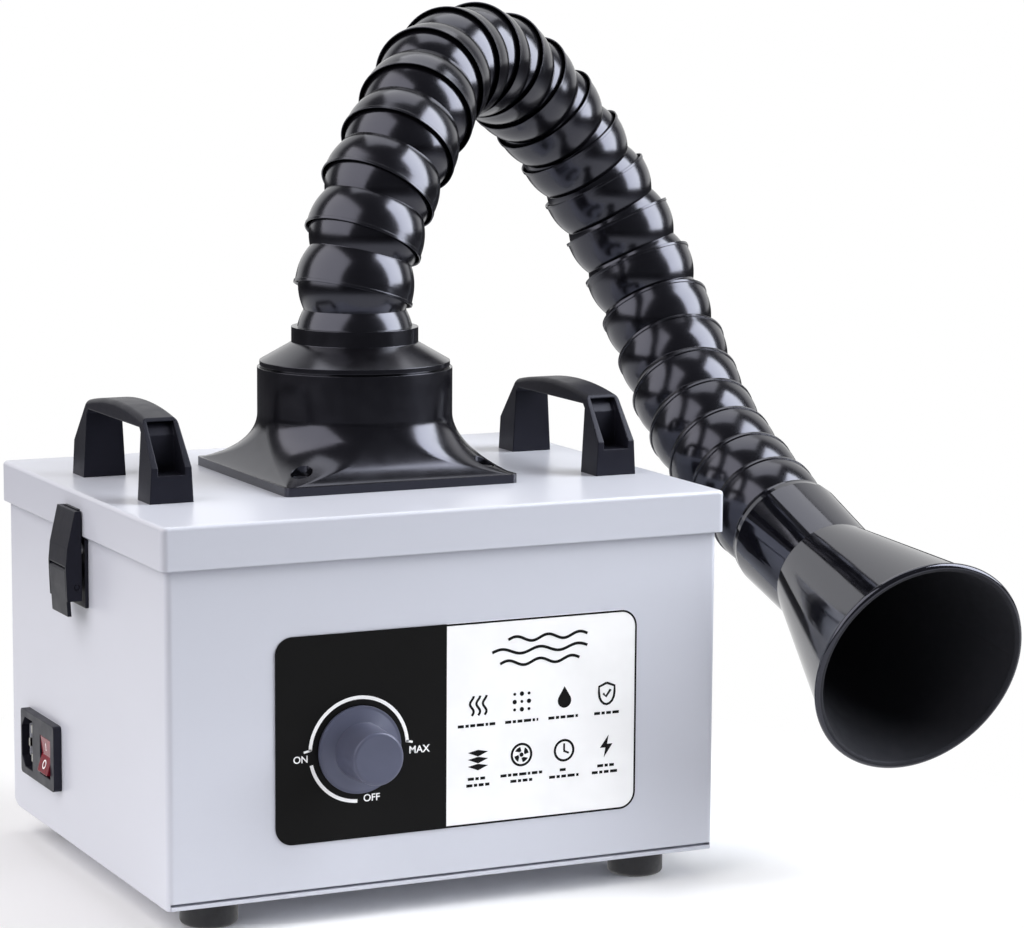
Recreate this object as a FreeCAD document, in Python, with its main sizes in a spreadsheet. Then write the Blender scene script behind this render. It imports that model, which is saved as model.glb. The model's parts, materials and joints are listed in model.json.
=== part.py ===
import FreeCAD, Part
import math
import os

import Sketcher

# Bench-top fume extractor: a sheet-metal filter box with a lift-off lid, a jointed suction arm and a
# trumpet hood. Millimetres. The origin is on the bench under the middle of the box, the front faces -Y
# and +Z is up. "Off the wall" sizes of the latches and the inlet run outward from the side wall.

DIMENSIONS = [
    ("case_width", 270, "outside width of the case"),
    ("case_depth", 221, "outside depth of the case, front to back"),
    ("case_height", 147.3, "case height that shows between its lower edge and the lid"),
    ("sheet", 1.5, "thickness of the steel sheet"),
    ("case_corner", 3, "radius of the upright edges of the case and the lid"),
    ("case_bend", 10, "radius of the lower back edge of the case"),
    ("rim_width", 12, "width of the turned-in rims at the top and bottom of the case"),
    ("base_thick", 1.8, "thickness of the base plate"),
    ("base_gap", 1.2, "height of the raised middle of the base plate, which leaves the dark gap"),
    ("base_step", 4, "how far the raised middle stands back from the plate's front edge"),
    ("foot_radius", 13, "radius of a rubber foot"),
    ("foot_height", 13.5, "height of a rubber foot"),
    ("foot_round", 2, "radius of a foot's lower edge"),
    ("foot_x", 28, "foot centres in from the case's left and right sides"),
    ("foot_y", 24.5, "foot centres in from the case's front and back"),
    ("screw_radius", 2, "shank radius of the screws"),
    ("screw_head", 4, "head radius of the screws"),
    ("screw_head_high", 3, "head height of the screws"),
    ("screw_gap", 0.1, "clearance round a screw's shank"),
    ("lid_skirt", 19.3, "height of the lid's skirt"),
    ("lid_overhang", 2.6, "how far the lid's skirt stands out past the case"),
    ("lid_round", 1.8, "radius of the lid's top edges"),
    ("gasket_thick", 2, "thickness of the gasket between the rim and the lid"),
    ("gasket_width", 8, "width of the gasket"),
    ("fittings_x", 2.2, "how far right of the middle the flange and the handles sit"),
    ("fittings_y", 4.5, "how far behind the middle the flange, handles and latches sit"),
    ("handle_inset", 23.3, "handle centres in from the case's sides, before the fittings' shift"),
    ("handle_width", 20.7, "width of a handle at its foot"),
    ("handle_length", 107.5, "length of a handle"),
    ("handle_leg", 16.3, "depth of a handle's leg at its foot"),
    ("handle_shoulder", 16, "height of the upright part of a handle's end"),
    ("handle_lean", 16, "how far the end of a handle leans in above the shoulder"),
    ("handle_high", 36.8, "height of a handle at the ends of its grip"),
    ("handle_arch", 196, "radius of the arched top of the grip"),
    ("handle_clear", 32.6, "finger room under the grip"),
    ("handle_gusset", 2, "slant inside the corners under the grip"),
    ("handle_taper", 2.2, "how far each side of a handle leans in up to the top of its arch"),
    ("handle_wall", 3.9, "wall beside the pockets in a handle's ends, at the foot"),
    ("handle_back", 2.6, "wall behind each pocket"),
    ("handle_skin", 1.6, "skin over each pocket"),
    ("handle_floor", 12.5, "height of the closed end under each pocket"),
    ("handle_round", 2.4, "radius of the long edges of a handle's grip"),
    ("handle_screw_y", 44.5, "handle screws in front of and behind the handle's middle"),
    ("handle_screw_bite", 8, "how far a handle screw goes into the leg"),
    ("flange_size", 116.5, "side of the square flange plate"),
    ("flange_plate", 4.2, "thickness of the flange plate"),
    ("flange_corner", 3, "corner radius of the flange plate"),
    ("flange_ledge", 1.2, "ledge of the flange plate around the foot of the flare"),
    ("flange_radius", 46, "outside radius of the flange's barrel"),
    ("flange_flat", 0.5, "half the width of the small flats on the barrel's four sides"),
    ("flare_height", 29.8, "height over the lid at which the flare turns into the barrel"),
    ("flare_start", 30, "slope of the foot of the flare, degrees"),
    ("flange_height", 51.4, "height of the barrel's top over the lid"),
    ("flange_bore", 38.3, "radius of the bore of the flange"),
    ("flange_screw", 46, "flange screws from the flange's middle, each way"),
    ("flange_pocket", 5, "radius of the screw pockets in the flare"),
    ("air_hole", 37, "radius of the air hole in the lid"),
    ("swivel_gap", 0.3, "clearance between the collar's spigot and the bore"),
    ("spigot_deep", 16, "how far the collar's spigot goes into the bore"),
    ("collar_wall", 4, "wall of the spigot"),
    ("collar_land", 42.7, "radius of the ring that the collar turns on"),
    ("collar_groove", 0.8, "height of the groove under the collar's rim"),
    ("collar_radius", 45, "radius of the collar's rim"),
    ("collar_rim", 2.2, "height of the collar's rim"),
    ("collar_ring", 30, "radius of the ring over the collar's shoulder"),
    ("ring_low", 63, "height of the ring's lower edge over the lid"),
    ("ring_high", 70.4, "height of the ring's upper edge over the lid"),
    ("collar_dome", 27.8, "radius of the dome between the ring and the first ball"),
    ("collar_pitch", 25.2, "height of the first ball's centre over the dome's centre"),
    ("arm_start", 89.9, "height of the first ball's centre over the lid"),
    ("link_pitch", 24.63, "distance from ball centre to ball centre"),
    ("ball_radius", 26.8, "radius of a link's ball"),
    ("ball_end", 7, "how far a ball goes on past its centre"),
    ("ball_gap", 0.3, "clearance between a ball and its socket"),
    ("link_dome", 28.1, "radius of the outside of a socket"),
    ("link_bore", 21.5, "radius of the air way through a link"),
    ("lip_radius", 28.6, "outside radius of a link's lip"),
    ("lip_inside", 27.6, "inside radius of a link's lip"),
    ("lip_drop", 4.76, "how far the lip goes on past the socket's centre"),
    ("lip_high", 1.4, "height of the lip's upright band"),
    ("lip_bevel", 1, "height of the bevel inside the lip's edge"),
    ("hood_length", 133.1, "from the hood's ball centre to its mouth"),
    ("hood_shell", 2.2, "wall of the hood"),
    ("hood_barrel", 29.2, "radius of the hood just above its lip"),
    ("hood_crease", 41.5, "from the ball centre to the crease where the horn starts"),
    ("crease_radius", 27.8, "radius at the crease"),
    ("mouth_radius", 53.5, "outside radius of the bead round the mouth"),
    ("bead_round", 2, "radius of the bead's section"),
    ("label_left", -84.8, "left edge of the label"),
    ("label_right", 93.4, "right edge of the label"),
    ("label_low", 20.9, "lower edge of the label over the case's lower edge"),
    ("label_high", 114.2, "upper edge of the label over the case's lower edge"),
    ("label_split", -2.4, "where the label changes from dark to light"),
    ("label_corner", 8, "corner radius of the label"),
    ("label_thick", 0.5, "thickness of the label"),
    ("knob_x", -45.1, "the knob's axis left of the middle"),
    ("knob_z", 61.3, "the knob's axis over the case's lower edge"),
    ("knob_gap", 0.5, "gap between the knob and the label"),
    ("knob_skirt", 19.8, "radius of the knob at its foot"),
    ("knob_edge", 1.3, "height of the upright edge at the knob's foot"),
    ("knob_grip", 12.8, "radius of the knob's grip where it leaves the skirt"),
    ("knob_dish", 3.2, "height of the knob's skirt where the grip leaves it"),
    ("knob_front", 12.1, "radius of the knob at its front"),
    ("knob_long", 22, "length of the knob"),
    ("knob_round", 1.6, "radius of the knob's front edge"),
    ("knob_hollow", 9.8, "radius of the hollow under the knob"),
    ("knob_hollow_deep", 4, "depth of the hollow under the knob"),
    ("shaft_radius", 3, "radius of the control's shaft"),
    ("shaft_gap", 0.05, "clearance round the control's shaft"),
    ("shaft_grip", 12, "how far the shaft goes into the knob past the hollow"),
    ("bushing_radius", 4.5, "radius of the control's threaded bushing"),
    ("bushing_gap", 0.2, "clearance round the bushing"),
    ("nut_radius", 7.5, "radius of the nut on the bushing"),
    ("nut_high", 2.4, "height of the nut"),
    ("control_radius", 12, "radius of the control's body"),
    ("control_long", 14, "length of the control's body"),
    ("inlet_y", 51.4, "middle of the mains inlet in from the case's back"),
    ("inlet_z", 34.4, "middle of the mains inlet over the case's lower edge"),
    ("inlet_long", 50, "length of the inlet's flange"),
    ("inlet_corner", 2, "corner radius of the inlet's flange"),
    ("inlet_high", 31.5, "height of the inlet's flange"),
    ("inlet_proud", 4, "thickness of the inlet's flange"),
    ("inlet_lip", 2, "how far the flange stands out past the inlet's body"),
    ("inlet_deep", 26, "depth of the inlet's body behind the wall's outside"),
    ("inlet_gap", 0.3, "clearance of the inlet's body in the wall"),
    ("socket_y", 15.4, "middle of the appliance socket behind the inlet's middle"),
    ("socket_wide", 16.5, "width of the appliance socket"),
    ("socket_high", 24.5, "height of the appliance socket"),
    ("socket_bevel", 5, "bevel at two corners of the socket"),
    ("socket_floor", 14, "socket floor behind the wall's outside"),
    ("pin_wide", 2, "width of a contact pin"),
    ("pin_high", 4, "height of a contact pin"),
    ("pin_proud", 2.2, "tips of the pins outside the wall's outside"),
    ("pin_tail", 6, "how far the pins stand out behind the inlet"),
    ("pin_spread", 7, "live and neutral pins above and below the middle"),
    ("pin_offset", 2, "earth pin behind, and the others before, the socket's middle"),
    ("rocker_y", -12.2, "the rocker's middle behind the inlet's middle"),
    ("rocker_z", -1.2, "the rocker's pivot over the inlet's middle"),
    ("rocker_half", 8.4, "half the rocker's height"),
    ("rocker_wide", 14.4, "width of the rocker"),
    ("rocker_end", 4.8, "ends of the level rocker outside the wall's outside"),
    ("rocker_dip", 1.6, "how far the middle of the rocker dips"),
    ("rocker_pivot", 3, "the rocker's pivot behind the wall's outside"),
    ("rocker_deep", 4, "how far the rocker goes on past its pivot"),
    ("rocker_tilt", 6, "how far the rocker tilts each way, degrees"),
    ("rocker_gap", 0.4, "clearance at each side of the rocker"),
    ("rocker_room", 1, "clearance above and below the rocker"),
    ("trunnion_radius", 1.2, "radius of the rocker's trunnions"),
    ("trunnion_long", 1.6, "length of the rocker's trunnions"),
    ("trunnion_gap", 0.1, "clearance round the small pivots"),
    ("latch_wide", 25.3, "width of a latch"),
    ("latch_plate", 1.6, "thickness of the latch's base plate"),
    ("latch_low", 3.6, "foot of the base plate over the latch's foot"),
    ("latch_high", 35.1, "top of the base plate over the latch's foot"),
    ("latch_out", 10.8, "outer face of the latch off the wall"),
    ("latch_skin", 1.8, "thickness of the lever's tab and the claw's front"),
    ("latch_cheek", 1.2, "thickness of the claw's arms and the lever's cheeks"),
    ("latch_gap", 0.3, "clearance between the latch's moving pieces"),
    ("pivot_out", 5, "the latch pin's axis off the wall"),
    ("pivot_z", 19.6, "the latch pin's axis over the latch's foot"),
    ("pivot_radius", 1.5, "radius of the latch pin"),
    ("ear_half", 4, "half the width of the ear that holds the latch pin"),
    ("ear_radius", 3.1, "radius of the ear's end"),
    ("drive_drop", 6, "the claw's pivot below the latch pin"),
    ("drive_out", 0.5, "the claw's pivot outside the latch pin"),
    ("drive_radius", 1.3, "radius of the lever's trunnions that carry the claw"),
    ("tab_low", 36.9, "the latch's foot, which is the lever's, below the lid's edge"),
    ("tab_back", 1.2, "how much nearer the wall the tab's foot stands"),
    ("tab_split", 22, "top of the lever's tab over the latch's foot"),
    ("split_gap", 1, "gap between the lever's tab and the claw's front"),
    ("arm_low", 7.1, "foot of the claw's arms over the latch's foot"),
    ("claw_high", 48.5, "top of the claw over the latch's foot"),
    ("claw_back", 4.6, "how much nearer the wall the claw's top stands"),
    ("claw_inner", 3.2, "inner edge of the claw's arms off the wall"),
    ("nose_high", 3, "height of the claw's nose"),
    ("keeper_out", 4, "outer face of the keeper off the wall"),
    ("keeper_low", 39.6, "foot of the keeper over the latch's foot"),
    ("keeper_high", 49, "top of the keeper over the latch's foot"),
    ("keeper_half", 9, "half the width of the keeper"),
    ("rivet_radius", 1.6, "shank radius of the latch rivets"),
    ("rivet_head", 2.6, "head radius of the latch rivets"),
    ("rivet_high", 0.8, "head height of the latch rivets"),
    ("rivet_y", 7.5, "latch rivets to each side of the latch's middle"),
    ("rivet_z", 30.6, "latch rivets over the latch's foot"),
    ("deck_top", 79.5, "top of the fan deck over the case's lower edge"),
    ("deck_gap", 0.5, "clearance between the deck and the walls"),
    ("post_size", 11, "side of the deck's corner posts"),
    ("fan_inlet", 48, "radius of the fan's inlet in the deck"),
    ("scroll_radius", 66, "outside radius of the fan housing"),
    ("scroll_wall", 2, "wall of the fan housing"),
    ("scroll_low", 8, "underside of the fan housing over the case's lower edge"),
    ("duct_half", 32, "half the width of the exhaust duct"),
    ("duct_margin", 8, "height of the duct's walls over the housing's floor and under the deck"),
    ("slot_count", 7, "exhaust slots in the back wall"),
    ("slot_wide", 4, "width of an exhaust slot"),
    ("slot_pitch", 8, "spacing of the exhaust slots"),
    ("motor_radius", 22, "radius of the fan motor"),
    ("motor_high", 30, "height of the fan motor"),
    ("axle_radius", 3, "radius of the impeller's axle"),
    ("axle_gap", 0.08, "clearance of the axle in the motor"),
    ("axle_deep", 20, "how far the axle goes into the motor"),
    ("hub_radius", 9, "radius of the impeller's hub"),
    ("wheel_radius", 57, "radius of the impeller"),
    ("wheel_gap", 2, "height of the impeller's disc over the motor"),
    ("wheel_disc", 2, "thickness of the impeller's disc and ring"),
    ("blade_high", 22, "height of the impeller's blades"),
    ("blade_thick", 1.6, "thickness of a blade"),
    ("blade_inner", 34, "radius at which the blades start"),
    ("blade_count", 12, "number of blades"),
    ("blade_sweep", 22, "how far a blade leans back, degrees"),
    ("filter_gap", 4, "room between the filter and the case's rim"),
    ("filter_room", 11.6, "room between the pre-filter pad and the lid"),
    ("filter_frame", 8, "width of the cartridge's frame"),
    ("filter_recess", 4, "depth of the cartridge's media below its frame"),
    ("pad_thick", 12, "thickness of the pre-filter pad on the cartridge"),
    ("arm_tilt_1", 16.5, "tilt of arm link 1 away from upright, degrees"),
    ("arm_heading_1", 21, "heading of arm link 1 from +X towards +Y, degrees"),
    ("arm_tilt_3", 38, "tilt of arm link 3 away from upright, degrees"),
    ("arm_heading_3", 28.5, "heading of arm link 3 from +X towards +Y, degrees"),
    ("arm_tilt_5", 59, "tilt of arm link 5 away from upright, degrees"),
    ("arm_heading_5", 46, "heading of arm link 5 from +X towards +Y, degrees"),
    ("arm_tilt_9", 114.5, "tilt of arm link 9 away from upright, degrees"),
    ("arm_heading_9", 31, "heading of arm link 9 from +X towards +Y, degrees"),
    ("arm_tilt_12", 145.5, "tilt of arm link 12 away from upright, degrees"),
    ("arm_heading_12", -2.5, "heading of arm link 12 from +X towards +Y, degrees"),
    ("arm_tilt_15", 153, "tilt of arm link 15 away from upright, degrees"),
    ("arm_heading_15", -61.5, "heading of arm link 15 from +X towards +Y, degrees"),
    ("arm_tilt_17", 135, "tilt of arm link 17 away from upright, degrees"),
    ("arm_heading_17", -92.5, "heading of arm link 17 from +X towards +Y, degrees"),
    ("arm_tilt_20", 116.5, "tilt of arm link 20 away from upright, degrees"),
    ("arm_heading_20", -89.4, "heading of arm link 20 from +X towards +Y, degrees"),
    ("arm_tilt_23", 108.5, "tilt of the hood away from upright, degrees"),
    ("arm_heading_23", -91.7, "heading of the hood from +X towards +Y, degrees"),
]

# The arm's links are counted from the box, and the hood comes after the last one. The tilt and the heading
# are stated for these; the links between two of them turn evenly from one to the other.
LINK_COUNT = 22
KEY_LINKS = [1, 3, 5, 9, 12, 15, 17, 20, LINK_COUNT + 1]

FLARE_STEPS = 5
CORNERS = [(-1, -1), (1, -1), (1, 1), (-1, 1)]
SIDES = [("left", -1), ("right", 1)]


class Size:
    """A length or an angle: its number, and the sheet expression that gives it."""

    def __init__(self, number, text):
        self.number = number
        self.text = text

    def __add__(self, other):
        other = as_size(other)
        return Size(self.number + other.number, f"({self.text} + {other.text})")

    def __radd__(self, other):
        return as_size(other) + self

    def __sub__(self, other):
        other = as_size(other)
        return Size(self.number - other.number, f"({self.text} - {other.text})")

    def __rsub__(self, other):
        return as_size(other) - self

    def __mul__(self, other):
        other = as_size(other)
        return Size(self.number * other.number, f"({self.text} * {other.text})")

    def __rmul__(self, other):
        return as_size(other) * self

    def __truediv__(self, other):
        other = as_size(other)
        return Size(self.number / other.number, f"({self.text} / {other.text})")

    def __neg__(self):
        return as_size(-1) * self


class Sizes:
    """The sheet's sizes by name."""


def as_size(value):
    if isinstance(value, Size):
        return value
    return Size(float(value), f"({float(value):.9f})")


def root(size):
    return Size(math.sqrt(size.number), f"sqrt({size.text})")


doc = FreeCAD.newDocument("fume_extractor")
sheet = doc.addObject("Spreadsheet::Sheet", "dims")
d = Sizes()


def fill_sheet():
    for row, (alias, number, note) in enumerate(DIMENSIONS, 1):
        sheet.set(f"A{row}", note)
        sheet.set(f"B{row}", str(number))
        sheet.setAlias(f"B{row}", alias)
        setattr(d, alias, Size(float(number), f"dims.{alias}"))
    doc.recompute()


fill_sheet()

# Levels and faces that several pieces share
base_top = d.foot_height + d.base_thick
case_low = base_top + d.base_gap
seam = case_low + d.case_height
lid_top = seam + d.lid_skirt
lid_under = lid_top - d.sheet
rim_top = lid_under - d.gasket_thick
half_width = d.case_width / 2
half_depth = d.case_depth / 2
inner_half_width = half_width - d.sheet
inner_half_depth = half_depth - d.sheet
rim_half_width = half_width - d.rim_width
rim_half_depth = half_depth - d.rim_width
bend_start = half_depth - d.case_bend
bend_top = d.foot_height + d.case_bend
deck_top = case_low + d.deck_top
deck_under = deck_top - d.sheet
label_face = -half_depth - d.label_thick
screw_hole = d.screw_radius + d.screw_gap
handle_reach = half_width - d.handle_inset
handle_end = d.handle_length / 2
foot_side = half_width - d.foot_x
foot_end = half_depth - d.foot_y
inlet_middle = half_depth - d.inlet_y
latch_foot = seam - d.tab_low
filter_top = lid_under - d.filter_room - d.pad_thick
socket_radius = d.ball_radius + d.ball_gap

PIECES = []
PLANES = {
    "z": FreeCAD.Rotation(),
    "y": FreeCAD.Rotation(FreeCAD.Vector(1, 0, 0), 90),
    "x": FreeCAD.Rotation(FreeCAD.Vector(1, 1, 1), 120),
}
DIRECTIONS = {
    "x": FreeCAD.Vector(1, 0, 0),
    "y": FreeCAD.Vector(0, 1, 0),
    "z": FreeCAD.Vector(0, 0, 1),
}
ROD_TURNS = {
    "x": FreeCAD.Rotation(FreeCAD.Vector(0, 1, 0), 90),
    "y": FreeCAD.Rotation(FreeCAD.Vector(1, 0, 0), -90),
    "z": FreeCAD.Rotation(),
}


def bind(thing, prop, value):
    thing.setExpression(prop, as_size(value).text)


def put(thing, x, y, z, turn=FreeCAD.Rotation()):
    thing.Placement = FreeCAD.Placement(FreeCAD.Vector(), turn)
    bind(thing, "Placement.Base.x", x)
    bind(thing, "Placement.Base.y", y)
    bind(thing, "Placement.Base.z", z)
    return thing


def keep(name, thing):
    thing.Label = name
    PIECES.append(thing)
    return thing


def block(name, x, y, z):
    """A box between pairs of x, y and z values."""
    thing = doc.addObject("Part::Box", name)
    bind(thing, "Length", x[1] - x[0])
    bind(thing, "Width", y[1] - y[0])
    bind(thing, "Height", z[1] - z[0])
    return put(thing, x[0], y[0], z[0])


def rod(name, radius, axis, span, across):
    """A cylinder along an axis between two values, at the other two coordinates given in order."""
    thing = doc.addObject("Part::Cylinder", name)
    bind(thing, "Radius", radius)
    bind(thing, "Height", span[1] - span[0])
    place = list(across)
    place.insert("xyz".index(axis), span[0])
    return put(thing, *place, ROD_TURNS[axis])


def fuse(name, parts):
    thing = doc.addObject("Part::MultiFuse", name)
    thing.Shapes = parts
    thing.Refine = True
    return thing


def cut(name, base, tools):
    thing = doc.addObject("Part::Cut", name)
    thing.Base = base
    thing.Tool = tools[0] if len(tools) == 1 else fuse(f"{name}_cuts", tools)
    return thing


def common(name, parts):
    thing = doc.addObject("Part::MultiCommon", name)
    thing.Shapes = parts
    return thing


def group(name, parts):
    """Several like solids that make up one piece."""
    thing = doc.addObject("Part::Compound", name)
    thing.Links = parts
    return thing


def rounded(name, base, radius, wanted):
    """The base with the edges that the test picks rounded."""
    doc.recompute()
    chosen = []
    for number, edge in enumerate(base.Shape.Edges, 1):
        if wanted(edge):
            chosen.append((number, radius.number, radius.number))
    thing = doc.addObject("Part::Fillet", name)
    thing.Base = base
    thing.Edges = chosen
    return thing


def flat_at(edge, level):
    box = edge.BoundBox
    return abs(box.ZMin - level.number) < 1e-4 and abs(box.ZMax - level.number) < 1e-4


class Corner:
    """A corner of an outline. 'hold' names the coordinates that fix it; the rest follow from arcs.

    'arc' shapes the side that ends here: (radius, turn) between two fixed corners, or
    (radius, turn, centre across, centre up), where turn is 1 for counter-clockwise and -1 for clockwise.
    """

    def __init__(self, across, up, hold="xy", arc=None):
        self.across = as_size(across)
        self.up = as_size(up)
        self.hold = hold
        self.arc = arc

    def spot(self):
        return FreeCAD.Vector(self.across.number, self.up.number, 0)


def arc_centre(start, stop, corner):
    """The centre of a corner's arc: stated, or found from its two ends and its radius."""
    if len(corner.arc) == 4:
        return FreeCAD.Vector(as_size(corner.arc[2]).number, as_size(corner.arc[3]).number, 0)
    chord = stop - start
    radius = as_size(corner.arc[0]).number
    rise = math.sqrt(radius * radius - chord.Length * chord.Length / 4)
    side = FreeCAD.Vector(-chord.y, chord.x, 0).normalize()
    return (start + stop) / 2 + side * rise * corner.arc[1]


def arc_between(start, stop, corner):
    centre = arc_centre(start, stop, corner)
    first, last = (start, stop) if corner.arc[1] > 0 else (stop, start)
    begin = math.atan2(first.y - centre.y, first.x - centre.x)
    end = math.atan2(last.y - centre.y, last.x - centre.x)
    if end <= begin:
        end += 2 * math.pi
    circle = Part.Circle(centre, FreeCAD.Vector(0, 0, 1), as_size(corner.arc[0]).number)
    return Part.ArcOfCircle(circle, begin, end)


def hold_value(sketch, kind, element, point, value):
    value = as_size(value)
    number = sketch.addConstraint(Sketcher.Constraint(kind, -1, 1, element, point, value.number))
    sketch.setExpression(f"Constraints[{number}]", value.text)


def outline(name, axis, corners):
    """A closed sketch across an axis, through corners joined by straight lines and arcs."""
    sketch = doc.addObject("Sketcher::SketchObject", name)
    sketch.Placement = FreeCAD.Placement(FreeCAD.Vector(), PLANES[axis])
    ends = []
    for number, corner in enumerate(corners):
        start = corners[number - 1].spot()
        stop = corner.spot()
        if corner.arc is None:
            sketch.addGeometry(Part.LineSegment(start, stop))
            ends.append((1, 2))
        else:
            sketch.addGeometry(arc_between(start, stop, corner))
            ends.append((1, 2) if corner.arc[1] > 0 else (2, 1))
    for number in range(len(corners)):
        after = (number + 1) % len(corners)
        joint = Sketcher.Constraint("Coincident", number, ends[number][1], after, ends[after][0])
        sketch.addConstraint(joint)
    for number, corner in enumerate(corners):
        if "x" in corner.hold:
            hold_value(sketch, "DistanceX", number, ends[number][1], corner.across)
        if "y" in corner.hold:
            hold_value(sketch, "DistanceY", number, ends[number][1], corner.up)
        if corner.arc is None:
            continue
        radius = as_size(corner.arc[0])
        index = sketch.addConstraint(Sketcher.Constraint("Radius", number, radius.number))
        sketch.setExpression(f"Constraints[{index}]", radius.text)
        if len(corner.arc) == 4:
            hold_value(sketch, "DistanceX", number, 3, corner.arc[2])
            hold_value(sketch, "DistanceY", number, 3, corner.arc[3])
    return sketch


def extruded(name, sketch, axis, span):
    """A sketch carried along an axis between two values."""
    thing = doc.addObject("Part::Extrusion", name)
    thing.Base = sketch
    thing.DirMode = "Custom"
    thing.Dir = DIRECTIONS[axis]
    thing.Solid = True
    bind(thing, "LengthFwd", span[1] - span[0])
    bind(thing, f"Placement.Base.{axis}", span[0])
    return thing


def prism(name, axis, span, points):
    """A straight-sided solid along an axis, from (across, up) points."""
    corners = [Corner(across, up) for across, up in points]
    return extruded(name, outline(f"{name}_outline", axis, corners), axis, span)


def rounded_corners(x, y, radius):
    """The outline of a rectangle with rounded corners."""
    left, right = x[0] + radius, x[1] - radius
    low, high = y[0] + radius, y[1] - radius
    return [
        Corner(left, y[0], "x", (radius, 1, left, low)),
        Corner(right, y[0], "x"),
        Corner(x[1], low, "y", (radius, 1, right, low)),
        Corner(x[1], high, "y"),
        Corner(right, y[1], "x", (radius, 1, right, high)),
        Corner(left, y[1], "x"),
        Corner(x[0], high, "y", (radius, 1, left, high)),
        Corner(x[0], low, "y"),
    ]


def plate(name, axis, x, y, span, radius):
    """A plate with rounded corners, across an axis."""
    return extruded(name, outline(f"{name}_outline", axis, rounded_corners(x, y, radius)), axis, span)


def turned(name, sketch, place=None):
    """A sketch of a half section turned about the upright axis, then put in its place."""
    thing = doc.addObject("Part::Revolution", name)
    thing.Source = sketch
    thing.Axis = FreeCAD.Vector(0, 0, 1)
    thing.Angle = 360
    thing.Solid = True
    if place is not None:
        put(thing, *place)
    return thing


# Base, feet and case


def make_feet():
    recess = d.screw_head + d.screw_gap
    seat = d.screw_head_high + d.foot_round
    flat = d.foot_radius - d.foot_round
    foot = outline("foot_outline", "y", [
        Corner(recess, 0),
        Corner(flat, 0, "x"),
        Corner(d.foot_radius, d.foot_round, "y", (d.foot_round, 1, flat, d.foot_round)),
        Corner(d.foot_radius, d.foot_height),
        Corner(screw_hole, d.foot_height),
        Corner(screw_hole, seat),
        Corner(recess, seat),
    ])
    screw = outline("foot_screw_outline", "y", [
        Corner(0, d.foot_round),
        Corner(d.screw_head, d.foot_round),
        Corner(d.screw_head, seat),
        Corner(d.screw_radius, seat),
        Corner(d.screw_radius, case_low),
        Corner(d.screw_head, case_low),
        Corner(d.screw_head, case_low + d.screw_head_high),
        Corner(0, case_low + d.screw_head_high),
    ])
    places = [(foot_side * right, foot_end * back, 0) for right, back in CORNERS]
    feet = [turned(f"foot_{n}", foot, place) for n, place in enumerate(places)]
    screws = [turned(f"foot_screw_{n}", screw, place) for n, place in enumerate(places)]
    keep("rubber_feet", group("feet", feet))
    keep("foot_screws", group("foot_screw_set", screws))


def make_base_plate():
    """The plate lies between the side walls, and its front edge shows under the front wall."""
    x = (-inner_half_width, inner_half_width)
    outer = block("base_sheet", x, (-half_depth, bend_start), (d.foot_height, base_top))
    middle = block("base_middle", x, (d.base_step - half_depth, bend_start), (base_top, case_low))
    places = [(foot_side * right, foot_end * back) for right, back in CORNERS]
    holes = [
        rod(f"base_hole_{n}", screw_hole, "z", (d.foot_height, case_low), place)
        for n, place in enumerate(places)
    ]
    keep("base_plate", cut("base", fuse("base_blank", [outer, middle]), holes))


def case_shell():
    """The folded box with its turned-in rims, before the holes in its walls."""
    upright = plate("case_upright", "z", (-half_width, half_width), (-half_depth, half_depth),
                    (d.foot_height, rim_top), d.case_corner)
    bent = extruded("case_bent", outline("case_bent_outline", "x", [
        Corner(-half_depth, d.foot_height),
        Corner(bend_start, d.foot_height, "x"),
        Corner(half_depth, bend_top, "y", (d.case_bend, 1, bend_start, bend_top)),
        Corner(half_depth, rim_top),
        Corner(-half_depth, rim_top),
    ]), "x", (-half_width, half_width))
    floor = case_low + d.sheet
    inside_bend = bend_top - floor
    inside_start = inner_half_depth - inside_bend
    room = extruded("case_room", outline("case_room_outline", "x", [
        Corner(-inner_half_depth, floor),
        Corner(inside_start, floor, "x"),
        Corner(inner_half_depth, bend_top, "y", (inside_bend, 1, inside_start, bend_top)),
        Corner(inner_half_depth, rim_top - d.sheet),
        Corner(-inner_half_depth, rim_top - d.sheet),
    ]), "x", (-inner_half_width, inner_half_width))
    mouth = block("case_mouth", (-rim_half_width, rim_half_width), (-rim_half_depth, rim_half_depth),
                  (case_low, rim_top))
    under = block("case_under", (-inner_half_width, inner_half_width), (-half_depth, bend_start),
                  (d.foot_height, case_low))
    return cut("case_shell", common("case_blank", [upright, bent]), [room, mouth, under])


def make_case():
    control = rod("case_control_hole", d.bushing_radius + d.bushing_gap, "y",
                  (-half_depth, -inner_half_depth), (d.knob_x, case_low + d.knob_z))
    body_y, body_z = inlet_body()
    inlet = block("case_inlet_hole", (-half_width, -inner_half_width),
                  (body_y[0] - d.inlet_gap, body_y[1] + d.inlet_gap),
                  (body_z[0] - d.inlet_gap, body_z[1] + d.inlet_gap))
    holes = [control, inlet] + exhaust_slots() + rivet_holes()
    keep("lower_case", cut("case", case_shell(), holes))


def exhaust_slots():
    low, high = duct_levels()
    slots = []
    count = int(d.slot_count.number)
    for n in range(count):
        middle = d.slot_pitch * (n - (count - 1) / 2)
        slots.append(block(f"exhaust_slot_{n}", (middle - d.slot_wide / 2, middle + d.slot_wide / 2),
                           (inner_half_depth, half_depth), (low + d.scroll_wall, high - d.scroll_wall)))
    return slots


# Lid with its gasket and handles


def handle_screw_places():
    places = []
    for _, side in SIDES:
        for way in (-1, 1):
            places.append((d.fittings_x + handle_reach * side, d.fittings_y + d.handle_screw_y * way))
    return places


def flange_screw_places():
    return [(d.fittings_x + d.flange_screw * right, d.fittings_y + d.flange_screw * back)
            for right, back in CORNERS]


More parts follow.
